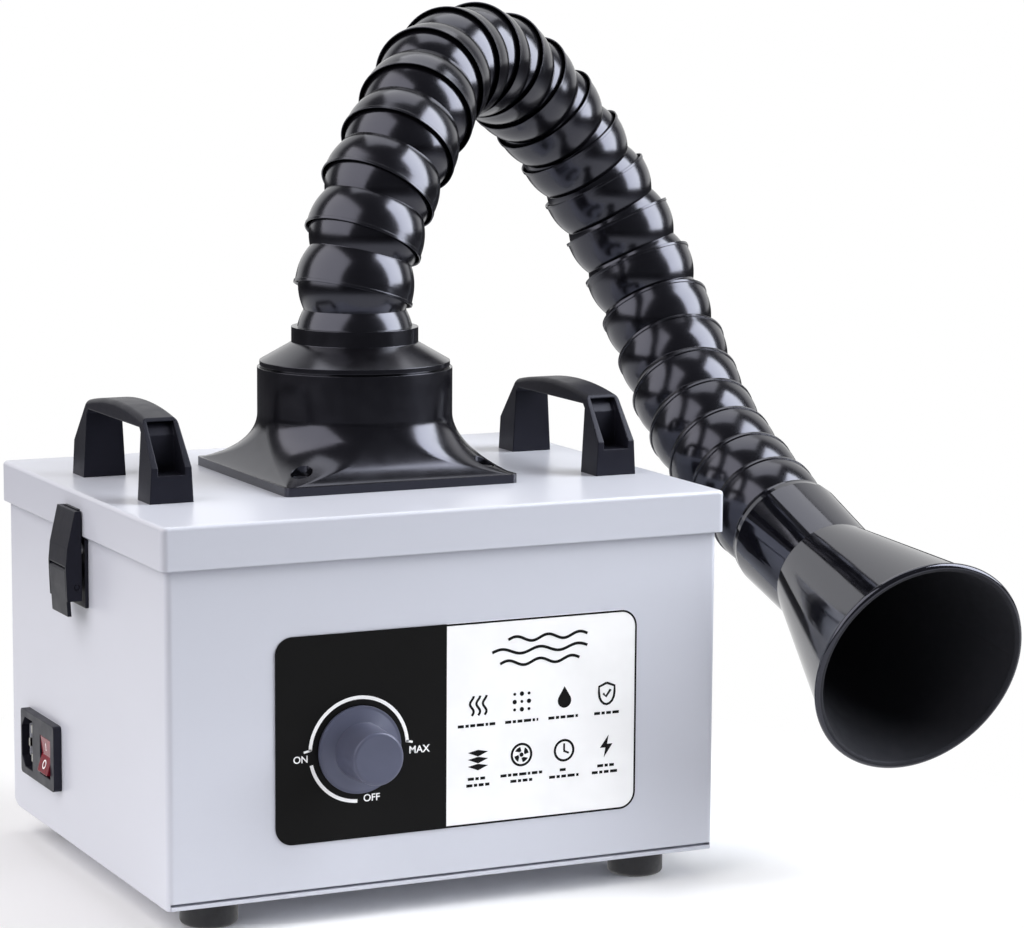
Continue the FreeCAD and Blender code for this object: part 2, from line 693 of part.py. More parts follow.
def make_lid():
    out_x = half_width + d.lid_overhang
    out_y = half_depth + d.lid_overhang
    blank = plate("lid_blank", "z", (-out_x, out_x), (-out_y, out_y), (seam, lid_top), d.case_corner)
    smooth = rounded("lid_smooth", blank, d.lid_round, lambda edge: flat_at(edge, lid_top))
    in_x = out_x - d.sheet
    in_y = out_y - d.sheet
    room = block("lid_room", (-in_x, in_x), (-in_y, in_y), (seam, lid_under))
    span = (lid_under, lid_top)
    holes = [rod("lid_air_hole", d.air_hole, "z", span, (d.fittings_x, d.fittings_y))]
    for n, place in enumerate(handle_screw_places() + flange_screw_places()):
        holes.append(rod(f"lid_screw_hole_{n}", screw_hole, "z", span, place))
    keep("lid", cut("lid_sheet", smooth, [room] + holes))
    gasket_x = inner_half_width
    gasket_y = inner_half_depth
    ring = block("gasket_blank", (-gasket_x, gasket_x), (-gasket_y, gasket_y), (rim_top, lid_under))
    hole_x = gasket_x - d.gasket_width
    hole_y = gasket_y - d.gasket_width
    hole = block("gasket_hole", (-hole_x, hole_x), (-hole_y, hole_y), (rim_top, lid_under))
    keep("lid_gasket", cut("gasket", ring, [hole]))


def handle_outline(name):
    """The side of a handle, along Y and up from the lid."""
    top = handle_end - d.handle_lean
    inner = handle_end - d.handle_leg
    return outline(name, "x", [
        Corner(-handle_end, 0),
        Corner(-inner, 0),
        Corner(-inner, d.handle_clear - d.handle_gusset),
        Corner(-inner + d.handle_gusset, d.handle_clear),
        Corner(inner - d.handle_gusset, d.handle_clear),
        Corner(inner, d.handle_clear - d.handle_gusset),
        Corner(inner, 0),
        Corner(handle_end, 0),
        Corner(handle_end, d.handle_shoulder),
        Corner(top, d.handle_high),
        Corner(-top, d.handle_high, "xy", (d.handle_arch, 1)),
        Corner(-handle_end, d.handle_shoulder),
    ])


def handle_sides(name):
    """The block between the two leaning sides of a handle, up to the top of its arch."""
    top = handle_end - d.handle_lean
    peak = d.handle_high + d.handle_arch - root(d.handle_arch * d.handle_arch - top * top)
    foot = d.handle_width / 2
    ridge = foot - d.handle_taper
    return prism(name, "y", (-handle_end, handle_end), [
        (-foot, 0),
        (foot, 0),
        (ridge, peak),
        (-ridge, peak),
    ])


def handle_pocket(name, way):
    """The open pocket in one end of a handle, cut in from that end."""
    outside = handle_end + d.handle_wall
    back = handle_end - d.handle_leg + d.handle_back
    deepest = back - (d.handle_lean - d.handle_leg + 2 * d.handle_back)
    roof = d.handle_high - d.handle_skin
    bend = d.handle_clear - d.handle_gusset - d.handle_skin
    width = d.handle_width / 2 - d.handle_wall
    return prism(name, "x", (-width, width), [
        (way * outside, d.handle_floor),
        (way * back, d.handle_floor),
        (way * back, bend),
        (way * deepest, roof),
        (way * outside, roof),
    ][::way])


def make_handles():
    for name, side in SIDES:
        along = extruded(f"handle_{name}_along", handle_outline(f"handle_{name}_outline"), "x",
                         (-d.handle_width / 2, d.handle_width / 2))
        blank = common(f"handle_{name}_blank", [along, handle_sides(f"handle_{name}_sides")])
        smooth = rounded(f"handle_{name}_smooth", blank, d.handle_round, along_grip)
        tools = [handle_pocket(f"handle_{name}_pocket_{n}", way) for n, way in enumerate((-1, 1))]
        for n, way in enumerate((-1, 1)):
            tools.append(rod(f"handle_{name}_hole_{n}", screw_hole, "z",
                             (0, d.handle_screw_bite + d.screw_gap), (0, d.handle_screw_y * way)))
        handle = cut(f"handle_{name}_body", smooth, tools)
        put(handle, d.fittings_x + handle_reach * side, d.fittings_y, lid_top)
        keep(f"handle_{name}", handle)


def along_grip(edge):
    """Picks the two long arched edges on top of a handle's grip."""
    box = edge.BoundBox
    return box.YLength > d.handle_width.number and box.ZMin > d.handle_high.number - 1e-4


def make_handle_screws():
    screw = outline("handle_screw_outline", "y", [
        Corner(0, lid_under - d.screw_head_high),
        Corner(d.screw_head, lid_under - d.screw_head_high),
        Corner(d.screw_head, lid_under),
        Corner(d.screw_radius, lid_under),
        Corner(d.screw_radius, lid_top + d.handle_screw_bite),
        Corner(0, lid_top + d.handle_screw_bite),
    ])
    places = handle_screw_places()
    screws = [turned(f"handle_screw_{n}", screw, (x, y, 0)) for n, (x, y) in enumerate(places)]
    keep("handle_screws", group("handle_screw_set", screws))


# Flange and swivel collar


def flare_section(number):
    """One level of the flare, from the square foot to the round barrel: a square whose corners open."""
    start = math.radians(d.flare_start.number)
    angle = start + (math.pi / 2 - start) * number / FLARE_STEPS
    part_left = (1 - math.sin(angle)) / (1 - math.sin(start))
    risen = 1 - math.cos(angle) / math.cos(start)
    foot = d.flange_size / 2 - d.flange_ledge
    half = d.flange_radius + (foot - d.flange_radius) * part_left
    round_radius = d.flange_radius - d.flange_flat
    radius = round_radius + (d.flange_corner - round_radius) * part_left
    level = lid_top + d.flange_plate + (d.flare_height - d.flange_plate) * risen
    section = outline(f"flare_section_{number}", "z", rounded_corners((-half, half), (-half, half), radius))
    put(section, d.fittings_x, d.fittings_y, level)
    return section


def make_flange():
    x = d.fittings_x
    y = d.fittings_y
    half = d.flange_size / 2
    foot = plate("flange_foot", "z", (x - half, x + half), (y - half, y + half),
                 (lid_top, lid_top + d.flange_plate), d.flange_corner)
    flare = doc.addObject("Part::Loft", "flange_flare")
    flare.Sections = [flare_section(number) for number in range(FLARE_STEPS + 1)]
    flare.Solid = True
    top = lid_top + d.flange_height
    radius = d.flange_radius
    barrel = plate("flange_barrel", "z", (x - radius, x + radius), (y - radius, y + radius),
                   (lid_top + d.flare_height, top), radius - d.flange_flat)
    tools = [rod("flange_air_way", d.flange_bore, "z", (lid_top, top), (x, y))]
    for n, place in enumerate(flange_screw_places()):
        tools.append(rod(f"flange_pocket_{n}", d.flange_pocket, "z", (lid_top + d.flange_plate, top), place))
        tools.append(rod(f"flange_hole_{n}", screw_hole, "z", (lid_top, lid_top + d.flange_plate), place))
    keep("flange_base", cut("flange", fuse("flange_blank", [foot, flare, barrel]), tools))


def make_flange_screws():
    seat = lid_top + d.flange_plate
    tip = lid_under - d.screw_head_high
    screw = outline("flange_screw_outline", "y", [
        Corner(0, tip),
        Corner(d.screw_radius, tip),
        Corner(d.screw_radius, seat),
        Corner(d.screw_head, seat),
        Corner(d.screw_head, seat + d.screw_head_high),
        Corner(0, seat + d.screw_head_high),
    ])
    places = flange_screw_places()
    screws = [turned(f"flange_screw_{n}", screw, (x, y, 0)) for n, (x, y) in enumerate(places)]
    keep("flange_screws", group("flange_screw_set", screws))


def neck_corner(dome, dome_level, ball_level):
    """Where a dome meets the ball above it, as a corner that follows from the two arcs."""
    rise = ball_level.number - as_size(dome_level).number
    up = (dome.number ** 2 - d.ball_radius.number ** 2 + rise ** 2) / (2 * rise)
    across = math.sqrt(dome.number ** 2 - up ** 2)
    return across, as_size(dome_level).number + up


def dome_and_ball(dome, dome_level, ball_level):
    """Corners from a dome over the neck to the inner edge of the ball above it."""
    across, up = neck_corner(dome, dome_level, ball_level)
    end = root(d.ball_radius * d.ball_radius - d.ball_end * d.ball_end)
    return [
        Corner(across, up, "", (dome, 1, 0, dome_level)),
        Corner(end, ball_level + d.ball_end, "y", (d.ball_radius, 1, 0, ball_level)),
        Corner(d.link_bore, ball_level + d.ball_end),
    ]


def make_collar():
    spigot = d.flange_bore - d.swivel_gap
    low = d.flange_height - d.spigot_deep
    rim = d.flange_height + d.collar_groove
    dome_level = d.arm_start - d.collar_pitch
    dome_foot = root(d.collar_dome * d.collar_dome - (d.ring_high - dome_level) * (d.ring_high - dome_level))
    corners = [
        Corner(spigot - d.collar_wall, low),
        Corner(spigot, low),
        Corner(spigot, d.flange_height),
        Corner(d.collar_land, d.flange_height),
        Corner(d.collar_land, rim),
        Corner(d.collar_radius, rim),
        Corner(d.collar_radius, rim + d.collar_rim),
        Corner(d.collar_ring, d.ring_low),
        Corner(d.collar_ring, d.ring_high),
        Corner(dome_foot, d.ring_high, "y"),
    ]
    corners += dome_and_ball(d.collar_dome, dome_level, d.arm_start)
    corners += [
        Corner(d.link_bore, d.ring_low),
        Corner(spigot - d.collar_wall, d.flange_height),
    ]
    collar = turned("collar", outline("collar_outline", "y", corners), (d.fittings_x, d.fittings_y, lid_top))
    keep("swivel_collar", collar)


# Arm and hood


def socket_corners():
    """Corners of a socket from its air way out to the edge of the lip and up round the lip."""
    meet = root(socket_radius * socket_radius - d.link_bore * d.link_bore)
    return [
        Corner(d.link_bore, meet, "x"),
        Corner(socket_radius, 0, "y", (socket_radius, -1, 0, 0)),
        Corner(d.lip_inside, d.lip_bevel - d.lip_drop),
        Corner(d.lip_inside + d.lip_bevel / 2, -d.lip_drop),
        Corner(d.lip_radius, -d.lip_drop),
        Corner(d.lip_radius, d.lip_high - d.lip_drop),
    ]


def make_links():
    corners = socket_corners() + [
        Corner(d.link_dome, d.lip_high - d.lip_drop),
        Corner(d.link_dome, 0, "y"),
    ]
    corners += dome_and_ball(d.link_dome, 0, d.link_pitch)
    section = outline("link_outline", "y", corners)
    for number, place in enumerate(arm_places()[:LINK_COUNT], 1):
        link = turned(f"link_{number:02d}", section)
        link.Placement = place
        keep(f"arm_link_{number:02d}", link)


def make_hood():
    ring = d.mouth_radius - d.bead_round
    bead_level = d.hood_length - d.bead_round
    corners = socket_corners() + [
        Corner(d.hood_barrel, 0),
        Corner(d.crease_radius, d.hood_crease),
        Corner(ring, bead_level - d.bead_round, "x"),
        Corner(ring - d.bead_round, bead_level, "y", (d.bead_round, 1, ring, bead_level)),
        Corner(d.crease_radius - d.hood_shell, d.hood_crease),
        Corner(d.link_bore, socket_radius),
    ]
    hood = turned("hood_shell_body", outline("hood_outline", "y", corners))
    hood.Placement = arm_places()[LINK_COUNT]
    keep("hood", hood)


def key_direction(link):
    tilt = math.radians(getattr(d, f"arm_tilt_{link}").number)
    heading = math.radians(getattr(d, f"arm_heading_{link}").number)
    across = math.sin(tilt)
    return FreeCAD.Vector(across * math.cos(heading), across * math.sin(heading), math.cos(tilt))


def link_direction(number):
    """The way a link points: on the even turn between the two stated links around it."""
    before = max(link for link in KEY_LINKS[:-1] if link <= number)
    after = KEY_LINKS[KEY_LINKS.index(before) + 1]
    share = (number - before) / (after - before)
    first = key_direction(before)
    last = key_direction(after)
    turn = first.getAngle(last)
    mixed = first * math.sin((1 - share) * turn) + last * math.sin(share * turn)
    return mixed.normalize()


def arm_places():
    """Where each link's socket sits, and the hood's after them."""
    start_level = lid_top + d.arm_start
    centre = FreeCAD.Vector(d.fittings_x.number, d.fittings_y.number, start_level.number)
    places = []
    for number in range(1, LINK_COUNT + 2):
        direction = link_direction(number)
        places.append(FreeCAD.Placement(centre, FreeCAD.Rotation(FreeCAD.Vector(0, 0, 1), direction)))
        centre = centre + direction * d.link_pitch.number
    return places


# Front label, knob and speed control


def make_label():
    low = case_low + d.label_low
    high = case_low + d.label_high
    span = (label_face, -half_depth)
    whole = plate("label_sheet", "y", (d.label_left, d.label_right), (low, high), span, d.label_corner)
    hole = rod("label_hole", d.bushing_radius + d.bushing_gap, "y", span, (d.knob_x, case_low + d.knob_z))
    sheet_with_hole = cut("label_holed", whole, [hole])
    halves = [
        ("label_dark", (d.label_left, d.label_split)),
        ("label_light", (d.label_split, d.label_right)),
    ]
    for name, x in halves:
        part = block(f"{name}_window", x, span, (low, high))
        keep(name, common(f"{name}_half", [sheet_with_hole, part]))


def make_knob():
    tip = d.knob_long - d.knob_round
    front = d.knob_front - d.knob_round
    bore = d.shaft_radius + d.shaft_gap
    deep = d.knob_hollow_deep + d.shaft_grip
    section = outline("knob_outline", "y", [
        Corner(d.knob_hollow, 0),
        Corner(d.knob_skirt, 0),
        Corner(d.knob_skirt, d.knob_edge),
        Corner(d.knob_skirt - d.knob_edge, d.knob_edge),
        Corner(d.knob_grip, d.knob_dish),
        Corner(d.knob_front, tip, "y"),
        Corner(front, d.knob_long, "x", (d.knob_round, 1, front, tip)),
        Corner(0, d.knob_long),
        Corner(0, deep),
        Corner(bore, deep),
        Corner(bore, d.knob_hollow_deep),
        Corner(d.knob_hollow, d.knob_hollow_deep),
    ])
    knob = turned("knob_body", section)
    put(knob, d.knob_x, label_face - d.knob_gap, case_low + d.knob_z,
        FreeCAD.Rotation(FreeCAD.Vector(1, 0, 0), 90))
    keep("knob", knob)


def make_control():
    axis = (d.knob_x, case_low + d.knob_z)
    back = -inner_half_depth
    end = back + d.control_long
    nut_face = label_face - d.nut_high
    tip = label_face - d.knob_gap - d.knob_hollow_deep - d.shaft_grip
    body = rod("control_body", d.control_radius, "y", (back, end), axis)
    bushing = rod("control_bushing", d.bushing_radius, "y", (nut_face, back), axis)
    nut = rod("control_nut", d.nut_radius, "y", (nut_face, label_face), axis)
    bore = rod("control_bore", d.shaft_radius + d.shaft_gap, "y", (nut_face, end), axis)
    keep("speed_control", cut("control", fuse("control_blank", [body, bushing, nut]), [bore]))
    keep("control_shaft", rod("shaft", d.shaft_radius, "y", (tip, end), axis))


# Mains inlet with its rocker, on the left wall


def inlet_body():
    """The y and z limits of the inlet's body in the wall."""
    middle_z = case_low + d.inlet_z
    half_long = d.inlet_long / 2 - d.inlet_lip
    half_high = d.inlet_high / 2 - d.inlet_lip
    return (inlet_middle - half_long, inlet_middle + half_long), (middle_z - half_high, middle_z + half_high)


def off_wall(distance):
    """The x value at a distance outside the left wall."""
    return -half_width - distance


def pin_places():
    """The y and z middles of the three contact pins."""
    y = inlet_middle + d.socket_y
    z = case_low + d.inlet_z
    return [
        (y - d.pin_offset, z - d.pin_spread),
        (y - d.pin_offset, z + d.pin_spread),
        (y + d.pin_offset, z),
    ]


def pin_block(name, y, z, span):
    half_wide = d.pin_wide / 2
    half_high = d.pin_high / 2
    return block(name, span, (y - half_wide, y + half_wide), (z - half_high, z + half_high))


def socket_room():
    y = inlet_middle + d.socket_y
    z = case_low + d.inlet_z
    near = y - d.socket_wide / 2
    far = y + d.socket_wide / 2
    low = z - d.socket_high / 2
    high = z + d.socket_high / 2
    return prism("socket_room", "x", (off_wall(d.inlet_proud), off_wall(-d.socket_floor)), [
        (near, low),
        (far - d.socket_bevel, low),
        (far, low + d.socket_bevel),
        (far, high - d.socket_bevel),
        (far - d.socket_bevel, high),
        (near, high),
    ])


def rocker_room():
    y = inlet_middle + d.rocker_y
    z = case_low + d.inlet_z + d.rocker_z
    half_wide = d.rocker_wide / 2 + d.rocker_gap
    half_high = d.rocker_half + d.rocker_room
    floor = d.rocker_pivot + d.rocker_deep + d.rocker_room
    room = block("rocker_room", (off_wall(d.inlet_proud), off_wall(-floor)),
                 (y - half_wide, y + half_wide), (z - half_high, z + half_high))
    reach = d.rocker_wide / 2 + d.trunnion_long + d.trunnion_gap
    bore = rod("rocker_bore", d.trunnion_radius + d.trunnion_gap, "y", (y - reach, y + reach),
               (off_wall(-d.rocker_pivot), z))
    return [room, bore]


def make_inlet():
    body_y, body_z = inlet_body()
    middle_z = case_low + d.inlet_z
    flange = plate("inlet_flange", "x", (inlet_middle - d.inlet_long / 2, inlet_middle + d.inlet_long / 2),
                   (middle_z - d.inlet_high / 2, middle_z + d.inlet_high / 2),
                   (off_wall(d.inlet_proud), off_wall(0)), d.inlet_corner)
    body = block("inlet_body", (off_wall(0), off_wall(-d.inlet_deep)), body_y, body_z)
    span = (off_wall(d.pin_proud), off_wall(-d.inlet_deep - d.pin_tail))
    ways = [pin_block(f"pin_way_{n}", y, z, span) for n, (y, z) in enumerate(pin_places())]
    tools = [socket_room()] + rocker_room() + ways
    keep("inlet_housing", cut("inlet", fuse("inlet_blank", [flange, body]), tools))
    pins = [pin_block(f"pin_{n}", y, z, span) for n, (y, z) in enumerate(pin_places())]
    keep("inlet_pins", group("inlet_pin_set", pins))


def make_rocker():
    """The rocker about its own pivot, level, then tilted to its rest."""
    end = d.rocker_end + d.rocker_pivot
    half_wide = d.rocker_wide / 2
    body = prism("rocker_body", "y", (-half_wide, half_wide), [
        (-end, d.rocker_half),
        (-end + d.rocker_dip, 0),
        (-end, -d.rocker_half),
        (-d.rocker_dip, -d.rocker_half),
        (d.rocker_deep, -d.rocker_deep),
        (d.rocker_deep, d.rocker_deep),
        (-d.rocker_dip, d.rocker_half),
    ])
    reach = half_wide + d.trunnion_long
    axle = rod("rocker_axle", d.trunnion_radius, "y", (-reach, reach), (0, 0))
    rocker = fuse("rocker_solid", [body, axle])
    put(rocker, off_wall(-d.rocker_pivot), inlet_middle + d.rocker_y, case_low + d.inlet_z + d.rocker_z,
        FreeCAD.Rotation(FreeCAD.Vector(0, 1, 0), d.rocker_tilt.number))
    keep("rocker", rocker)


# Latches, one on each side


def latch_x(side, distance):
    """The x value at a distance off the left or right wall."""
    return side * (half_width + distance)


def ordered(first, second):
    """Two values as a span that runs upward."""
    return (first, second) if first.number < second.number else (second, first)


def latch_span(side, near, far):
    return ordered(latch_x(side, as_size(near)), latch_x(side, as_size(far)))


def latch_prism(name, side, span, points):
    """A prism along Y from points given as distance off the wall and height over the latch's foot."""
    shape = [(latch_x(side, as_size(out)), latch_foot + up) for out, up in points]
    return prism(name, "y", span, shape)


def latch_y(reach):
    return (d.fittings_y - reach, d.fittings_y + reach)


def cheek_spans(inner, outer):
    """The two mirrored y spans of a pair of cheeks."""
    y = d.fittings_y
    return [(y - outer, y - inner), (y + inner, y + outer)]


def latch_pivot(side):
    return (latch_x(side, d.pivot_out), latch_foot + d.pivot_z)


def latch_drive(side):
    return (latch_x(side, d.pivot_out + d.drive_out), latch_foot + d.pivot_z - d.drive_drop)


arm_outer = d.latch_wide / 2
arm_inner = arm_outer - d.latch_cheek
lever_outer = arm_inner - d.latch_gap
lever_inner = lever_outer - d.latch_cheek
drive_reach = arm_outer - d.latch_gap


def rivet_places():
    z = latch_foot + d.rivet_z
    return [(d.fittings_y - d.rivet_y, z), (d.fittings_y + d.rivet_y, z)]


def rivet_holes():
    holes = []
    for name, side in SIDES:
        for n, place in enumerate(rivet_places()):
            span = latch_span(side, -d.sheet, 0)
            holes.append(rod(f"rivet_hole_{name}_{n}", d.rivet_radius + d.trunnion_gap, "x", span, place))
    return holes


def make_latch_base(name, side):
    wall = block(f"latch_wall_{name}", latch_span(side, 0, d.latch_plate), latch_y(arm_outer),
                 (latch_foot + d.latch_low, latch_foot + d.latch_high))
    x, z = latch_pivot(side)
    web = block(f"latch_web_{name}", latch_span(side, d.latch_plate, d.pivot_out), latch_y(d.ear_half),
                (z - d.ear_radius, z + d.ear_radius))
    ear = rod(f"latch_ear_{name}", d.ear_radius, "y", latch_y(d.ear_half), (x, z))
    tools = [rod(f"latch_ear_hole_{name}", d.pivot_radius + d.trunnion_gap, "y", latch_y(d.ear_half), (x, z))]
    for n, place in enumerate(rivet_places()):
        span = latch_span(side, 0, d.latch_plate)
        tools.append(rod(f"latch_rivet_way_{name}_{n}", d.rivet_radius + d.trunnion_gap, "x", span, place))
    blank = fuse(f"latch_foot_blank_{name}", [wall, web, ear])
    keep(f"latch_base_{name}", cut(f"latch_foot_{name}", blank, tools))


def make_latch_lever(name, side):
    out = d.latch_out
    skin = d.latch_skin
    bevel = d.latch_skin / 2
    tab = latch_prism(f"lever_tab_{name}", side, latch_y(lever_outer), [
        (out - skin, d.tab_split),
        (out - bevel, d.tab_split),
        (out, d.tab_split - bevel),
        (out - d.tab_back / 4, d.pivot_z - d.drive_drop),
        (out - d.tab_back, 0),
        (out - d.tab_back - skin, 0),
        (out - d.tab_back / 4 - skin, d.pivot_z - d.drive_drop),
    ])
    parts = [tab]
    x, z = latch_drive(side)
    for n, span in enumerate(cheek_spans(lever_inner, lever_outer)):
        parts.append(latch_prism(f"lever_cheek_{name}_{n}", side, span, [
            (d.pivot_out - d.pivot_radius, d.tab_split),
            (out - skin, d.tab_split),
            (out - d.tab_back / 4 - skin, d.pivot_z - d.drive_drop),
            (out - d.tab_back / 2 - skin, d.arm_low),
            (d.pivot_out, d.pivot_z - d.drive_drop - 2 * d.drive_radius),
            (d.pivot_out - 2 * d.drive_radius, d.pivot_z - d.pivot_radius),
        ]))
    for n, span in enumerate(cheek_spans(lever_outer, drive_reach)):
        parts.append(rod(f"lever_trunnion_{name}_{n}", d.drive_radius, "y", span, (x, z)))
    bore = d.pivot_radius + d.trunnion_gap
    hole = rod(f"lever_pivot_{name}", bore, "y", latch_y(lever_outer), latch_pivot(side))
    keep(f"latch_lever_{name}", cut(f"lever_{name}", fuse(f"lever_blank_{name}", parts), [hole]))


def make_latch_claw(name, side):
    out = d.latch_out
    skin = d.latch_skin
    foot = d.tab_split + d.split_gap
    bulge = foot + (d.claw_high - foot) / 3
    top_out = out - d.claw_back
    nose = d.keeper_out + d.latch_gap
    front = latch_prism(f"claw_front_{name}", side, latch_y(arm_outer), [
        (out - skin, foot),
        (out, foot),
        (out - d.claw_back / 6, bulge),
        (top_out, d.claw_high),
        (nose, d.claw_high),
        (nose, d.claw_high - d.nose_high),
        (top_out - skin + d.claw_back / 4, d.claw_high - d.nose_high),
        (out - d.claw_back / 6 - skin, bulge),
    ])
    parts = [front]
    for n, span in enumerate(cheek_spans(arm_inner, arm_outer)):
        parts.append(latch_prism(f"claw_arm_{name}_{n}", side, span, [
            (d.claw_inner, d.arm_low),
            (out - d.tab_back / 2, d.arm_low),
            (out - d.tab_back / 4, d.pivot_z - d.drive_drop),
            (out, foot),
            (out - d.claw_back / 6, bulge),
            (top_out, d.claw_high),
            (d.claw_inner, d.claw_high),
        ]))
    bore = d.drive_radius + d.trunnion_gap
    hole = rod(f"claw_pivot_{name}", bore, "y", latch_y(arm_outer), latch_drive(side))
    keep(f"latch_claw_{name}", cut(f"claw_{name}", fuse(f"claw_blank_{name}", parts), [hole]))


def latch_rivet(name, side, place):
    """A rivet through the base plate and the wall, with a head on each side."""
    head_top = d.latch_plate + d.rivet_high
    tail_top = -d.sheet - d.rivet_high
    return fuse(f"rivet_{name}", [
        rod(f"rivet_shank_{name}", d.rivet_radius, "x", latch_span(side, -d.sheet, head_top), place),
        rod(f"rivet_head_{name}", d.rivet_head, "x", latch_span(side, d.latch_plate, head_top), place),
        rod(f"rivet_tail_{name}", d.rivet_head, "x", latch_span(side, tail_top, -d.sheet), place),
    ])


def make_latches():
    pins, keepers, rivets = [], [], []
    for name, side in SIDES:
        make_latch_base(name, side)
        make_latch_lever(name, side)
        make_latch_claw(name, side)
        pins.append(rod(f"latch_pin_{name}", d.pivot_radius, "y", latch_y(lever_outer), latch_pivot(side)))
        keepers.append(block(f"keeper_{name}", latch_span(side, d.lid_overhang, d.keeper_out),
                             latch_y(d.keeper_half), (latch_foot + d.keeper_low, latch_foot + d.keeper_high)))
        for n, place in enumerate(rivet_places()):
            rivets.append(latch_rivet(f"{name}_{n}", side, place))
    keep("latch_pins", group("latch_pin_set", pins))
    keep("latch_keepers", group("keeper_set", keepers))
    keep("latch_rivets", group("rivet_set", rivets))


# Fan and filter inside the case


def duct_levels():
    """The lower and upper outside of the exhaust duct."""
    low = case_low + d.scroll_low + d.duct_margin
    high = deck_under - d.duct_margin
    return low, high


def make_fan_deck():
    x = inner_half_width - d.deck_gap
    y = inner_half_depth - d.deck_gap
    sheet_part = block("deck_sheet", (-x, x), (-y, y), (deck_under, deck_top))
    shoe_y = rim_half_depth + d.sheet
    posts = []
    for n, (right, back) in enumerate(CORNERS):
        posts.append(block(f"deck_post_{n}", ordered(x * right, (x - d.post_size) * right),
                           ordered(y * back, (y - d.post_size) * back), (bend_top, deck_under)))
        posts.append(block(f"deck_shoe_{n}", ordered(x * right, (x - d.post_size) * right),
                           ordered(shoe_y * back, (y - d.post_size) * back), (case_low + d.sheet, bend_top)))
    hole = rod("deck_hole", d.fan_inlet, "z", (deck_under, deck_top), (0, 0))
    keep("fan_deck", cut("deck", fuse("deck_blank", [sheet_part] + posts), [hole]))


def make_fan_housing():
    low = case_low + d.scroll_low
    floor = low + d.scroll_wall
    duct_low, duct_high = duct_levels()
    inside = d.scroll_radius - d.scroll_wall
    duct_inside = d.duct_half - d.scroll_wall
    drum = rod("scroll_drum", d.scroll_radius, "z", (low, deck_under), (0, 0))
    duct = block("scroll_duct", (-d.duct_half, d.duct_half), (0, inner_half_depth), (duct_low, duct_high))
    room = rod("scroll_room", inside, "z", (floor, deck_under), (0, 0))
    way = block("scroll_way", (-duct_inside, duct_inside), (0, inner_half_depth),
                (duct_low + d.scroll_wall, duct_high - d.scroll_wall))
    keep("fan_housing", cut("scroll", fuse("scroll_blank", [drum, duct]), [room, way]))


def make_motor():
    floor = case_low + d.scroll_low + d.scroll_wall
    top = floor + d.motor_high
    body = rod("motor_body", d.motor_radius, "z", (floor, top), (0, 0))
    bore = rod("motor_bore", d.axle_radius + d.axle_gap, "z", (top - d.axle_deep, top), (0, 0))
    keep("fan_motor", cut("motor", body, [bore]))


def make_impeller():
    motor_top = case_low + d.scroll_low + d.scroll_wall + d.motor_high
    disc_low = motor_top + d.wheel_gap
    disc_top = disc_low + d.wheel_disc
    blade_top = disc_top + d.blade_high
    hub = rod("wheel_hub", d.hub_radius, "z", (disc_low, blade_top), (0, 0))
    axle = rod("wheel_axle", d.axle_radius, "z", (motor_top - d.axle_deep, disc_low), (0, 0))
    disc = rod("wheel_disc", d.wheel_radius, "z", (disc_low, disc_top), (0, 0))
    ring = rod("wheel_ring_blank", d.wheel_radius, "z", (blade_top, blade_top + d.wheel_disc), (0, 0))
    eye = rod("wheel_eye", d.blade_inner, "z", (blade_top, blade_top + d.wheel_disc), (0, 0))
    blades = [wheel_blade(n, (disc_top, blade_top)) for n in range(int(d.blade_count.number))]
    keep("impeller", fuse("wheel", [hub, axle, disc, cut("wheel_ring", ring, [eye])] + blades))


def wheel_blade(number, span):
    """A flat blade that leans back from its inner end."""
    angle = 2 * math.pi * number / d.blade_count.number
    lean = angle + math.radians(d.blade_sweep.number)
    inner = polar(d.blade_inner, angle)
    outer = polar(d.wheel_radius - d.blade_thick, lean)
    run = (outer[0].number - inner[0].number, outer[1].number - inner[1].number)
    length = math.hypot(*run)
    off = (d.blade_thick * (-run[1] / length / 2), d.blade_thick * (run[0] / length / 2))
    return prism(f"wheel_blade_{number}", "z", span, [
        (inner[0] - off[0], inner[1] - off[1]),
        (outer[0] - off[0], outer[1] - off[1]),
        (outer[0] + off[0], outer[1] + off[1]),
        (inner[0] + off[0], inner[1] + off[1]),
    ])


def polar(radius, angle):
    return radius * math.cos(angle), radius * math.sin(angle)


def make_filter():
    x = rim_half_width - d.filter_gap
    y = rim_half_depth - d.filter_gap
    frame = block("filter_block", (-x, x), (-y, y), (deck_top, filter_top))
    tray_x = x - d.filter_frame
    tray_y = y - d.filter_frame
    tray = block("filter_tray", (-tray_x, tray_x), (-tray_y, tray_y),
                 (filter_top - d.filter_recess, filter_top))
    keep("filter_cartridge", cut("filter_frame_body", frame, [tray]))
    keep("prefilter_pad", block("pad", (-x, x), (-y, y), (filter_top, filter_top + d.pad_thick)))


def check_document():
    for thing in doc.Objects:
        bad = [state for state in thing.State if state in ("Invalid", "Error")]
        if bad:
            raise RuntimeError(f"{thing.Name} is {bad[0]}")
    for piece in PIECES:
        if piece.Shape.isNull() or not piece.Shape.isValid():
            raise RuntimeError(f"{piece.Label} has no valid shape")


def write_pieces():
    os.makedirs("parts", exist_ok=True)
    for piece in PIECES:
        piece.Shape.exportStep(os.path.join("parts", f"{piece.Label}.step"))
        print(f"{piece.Label}: {len(piece.Shape.Solids)} solid(s), {piece.Shape.Volume / 1000:.2f} cm3")


make_feet()
make_base_plate()
make_case()
make_lid()
make_handles()
make_handle_screws()
make_flange()
make_flange_screws()
make_collar()
make_links()
make_hood()
make_label()
make_knob()
make_control()
make_inlet()
make_rocker()
make_latches()
make_fan_deck()
make_fan_housing()
make_motor()
make_impeller()
make_filter()
doc.recompute()
check_document()
write_pieces()
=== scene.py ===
"""Looks of a bench-top fume extractor: its finishes, its printed label, the light and the camera."""

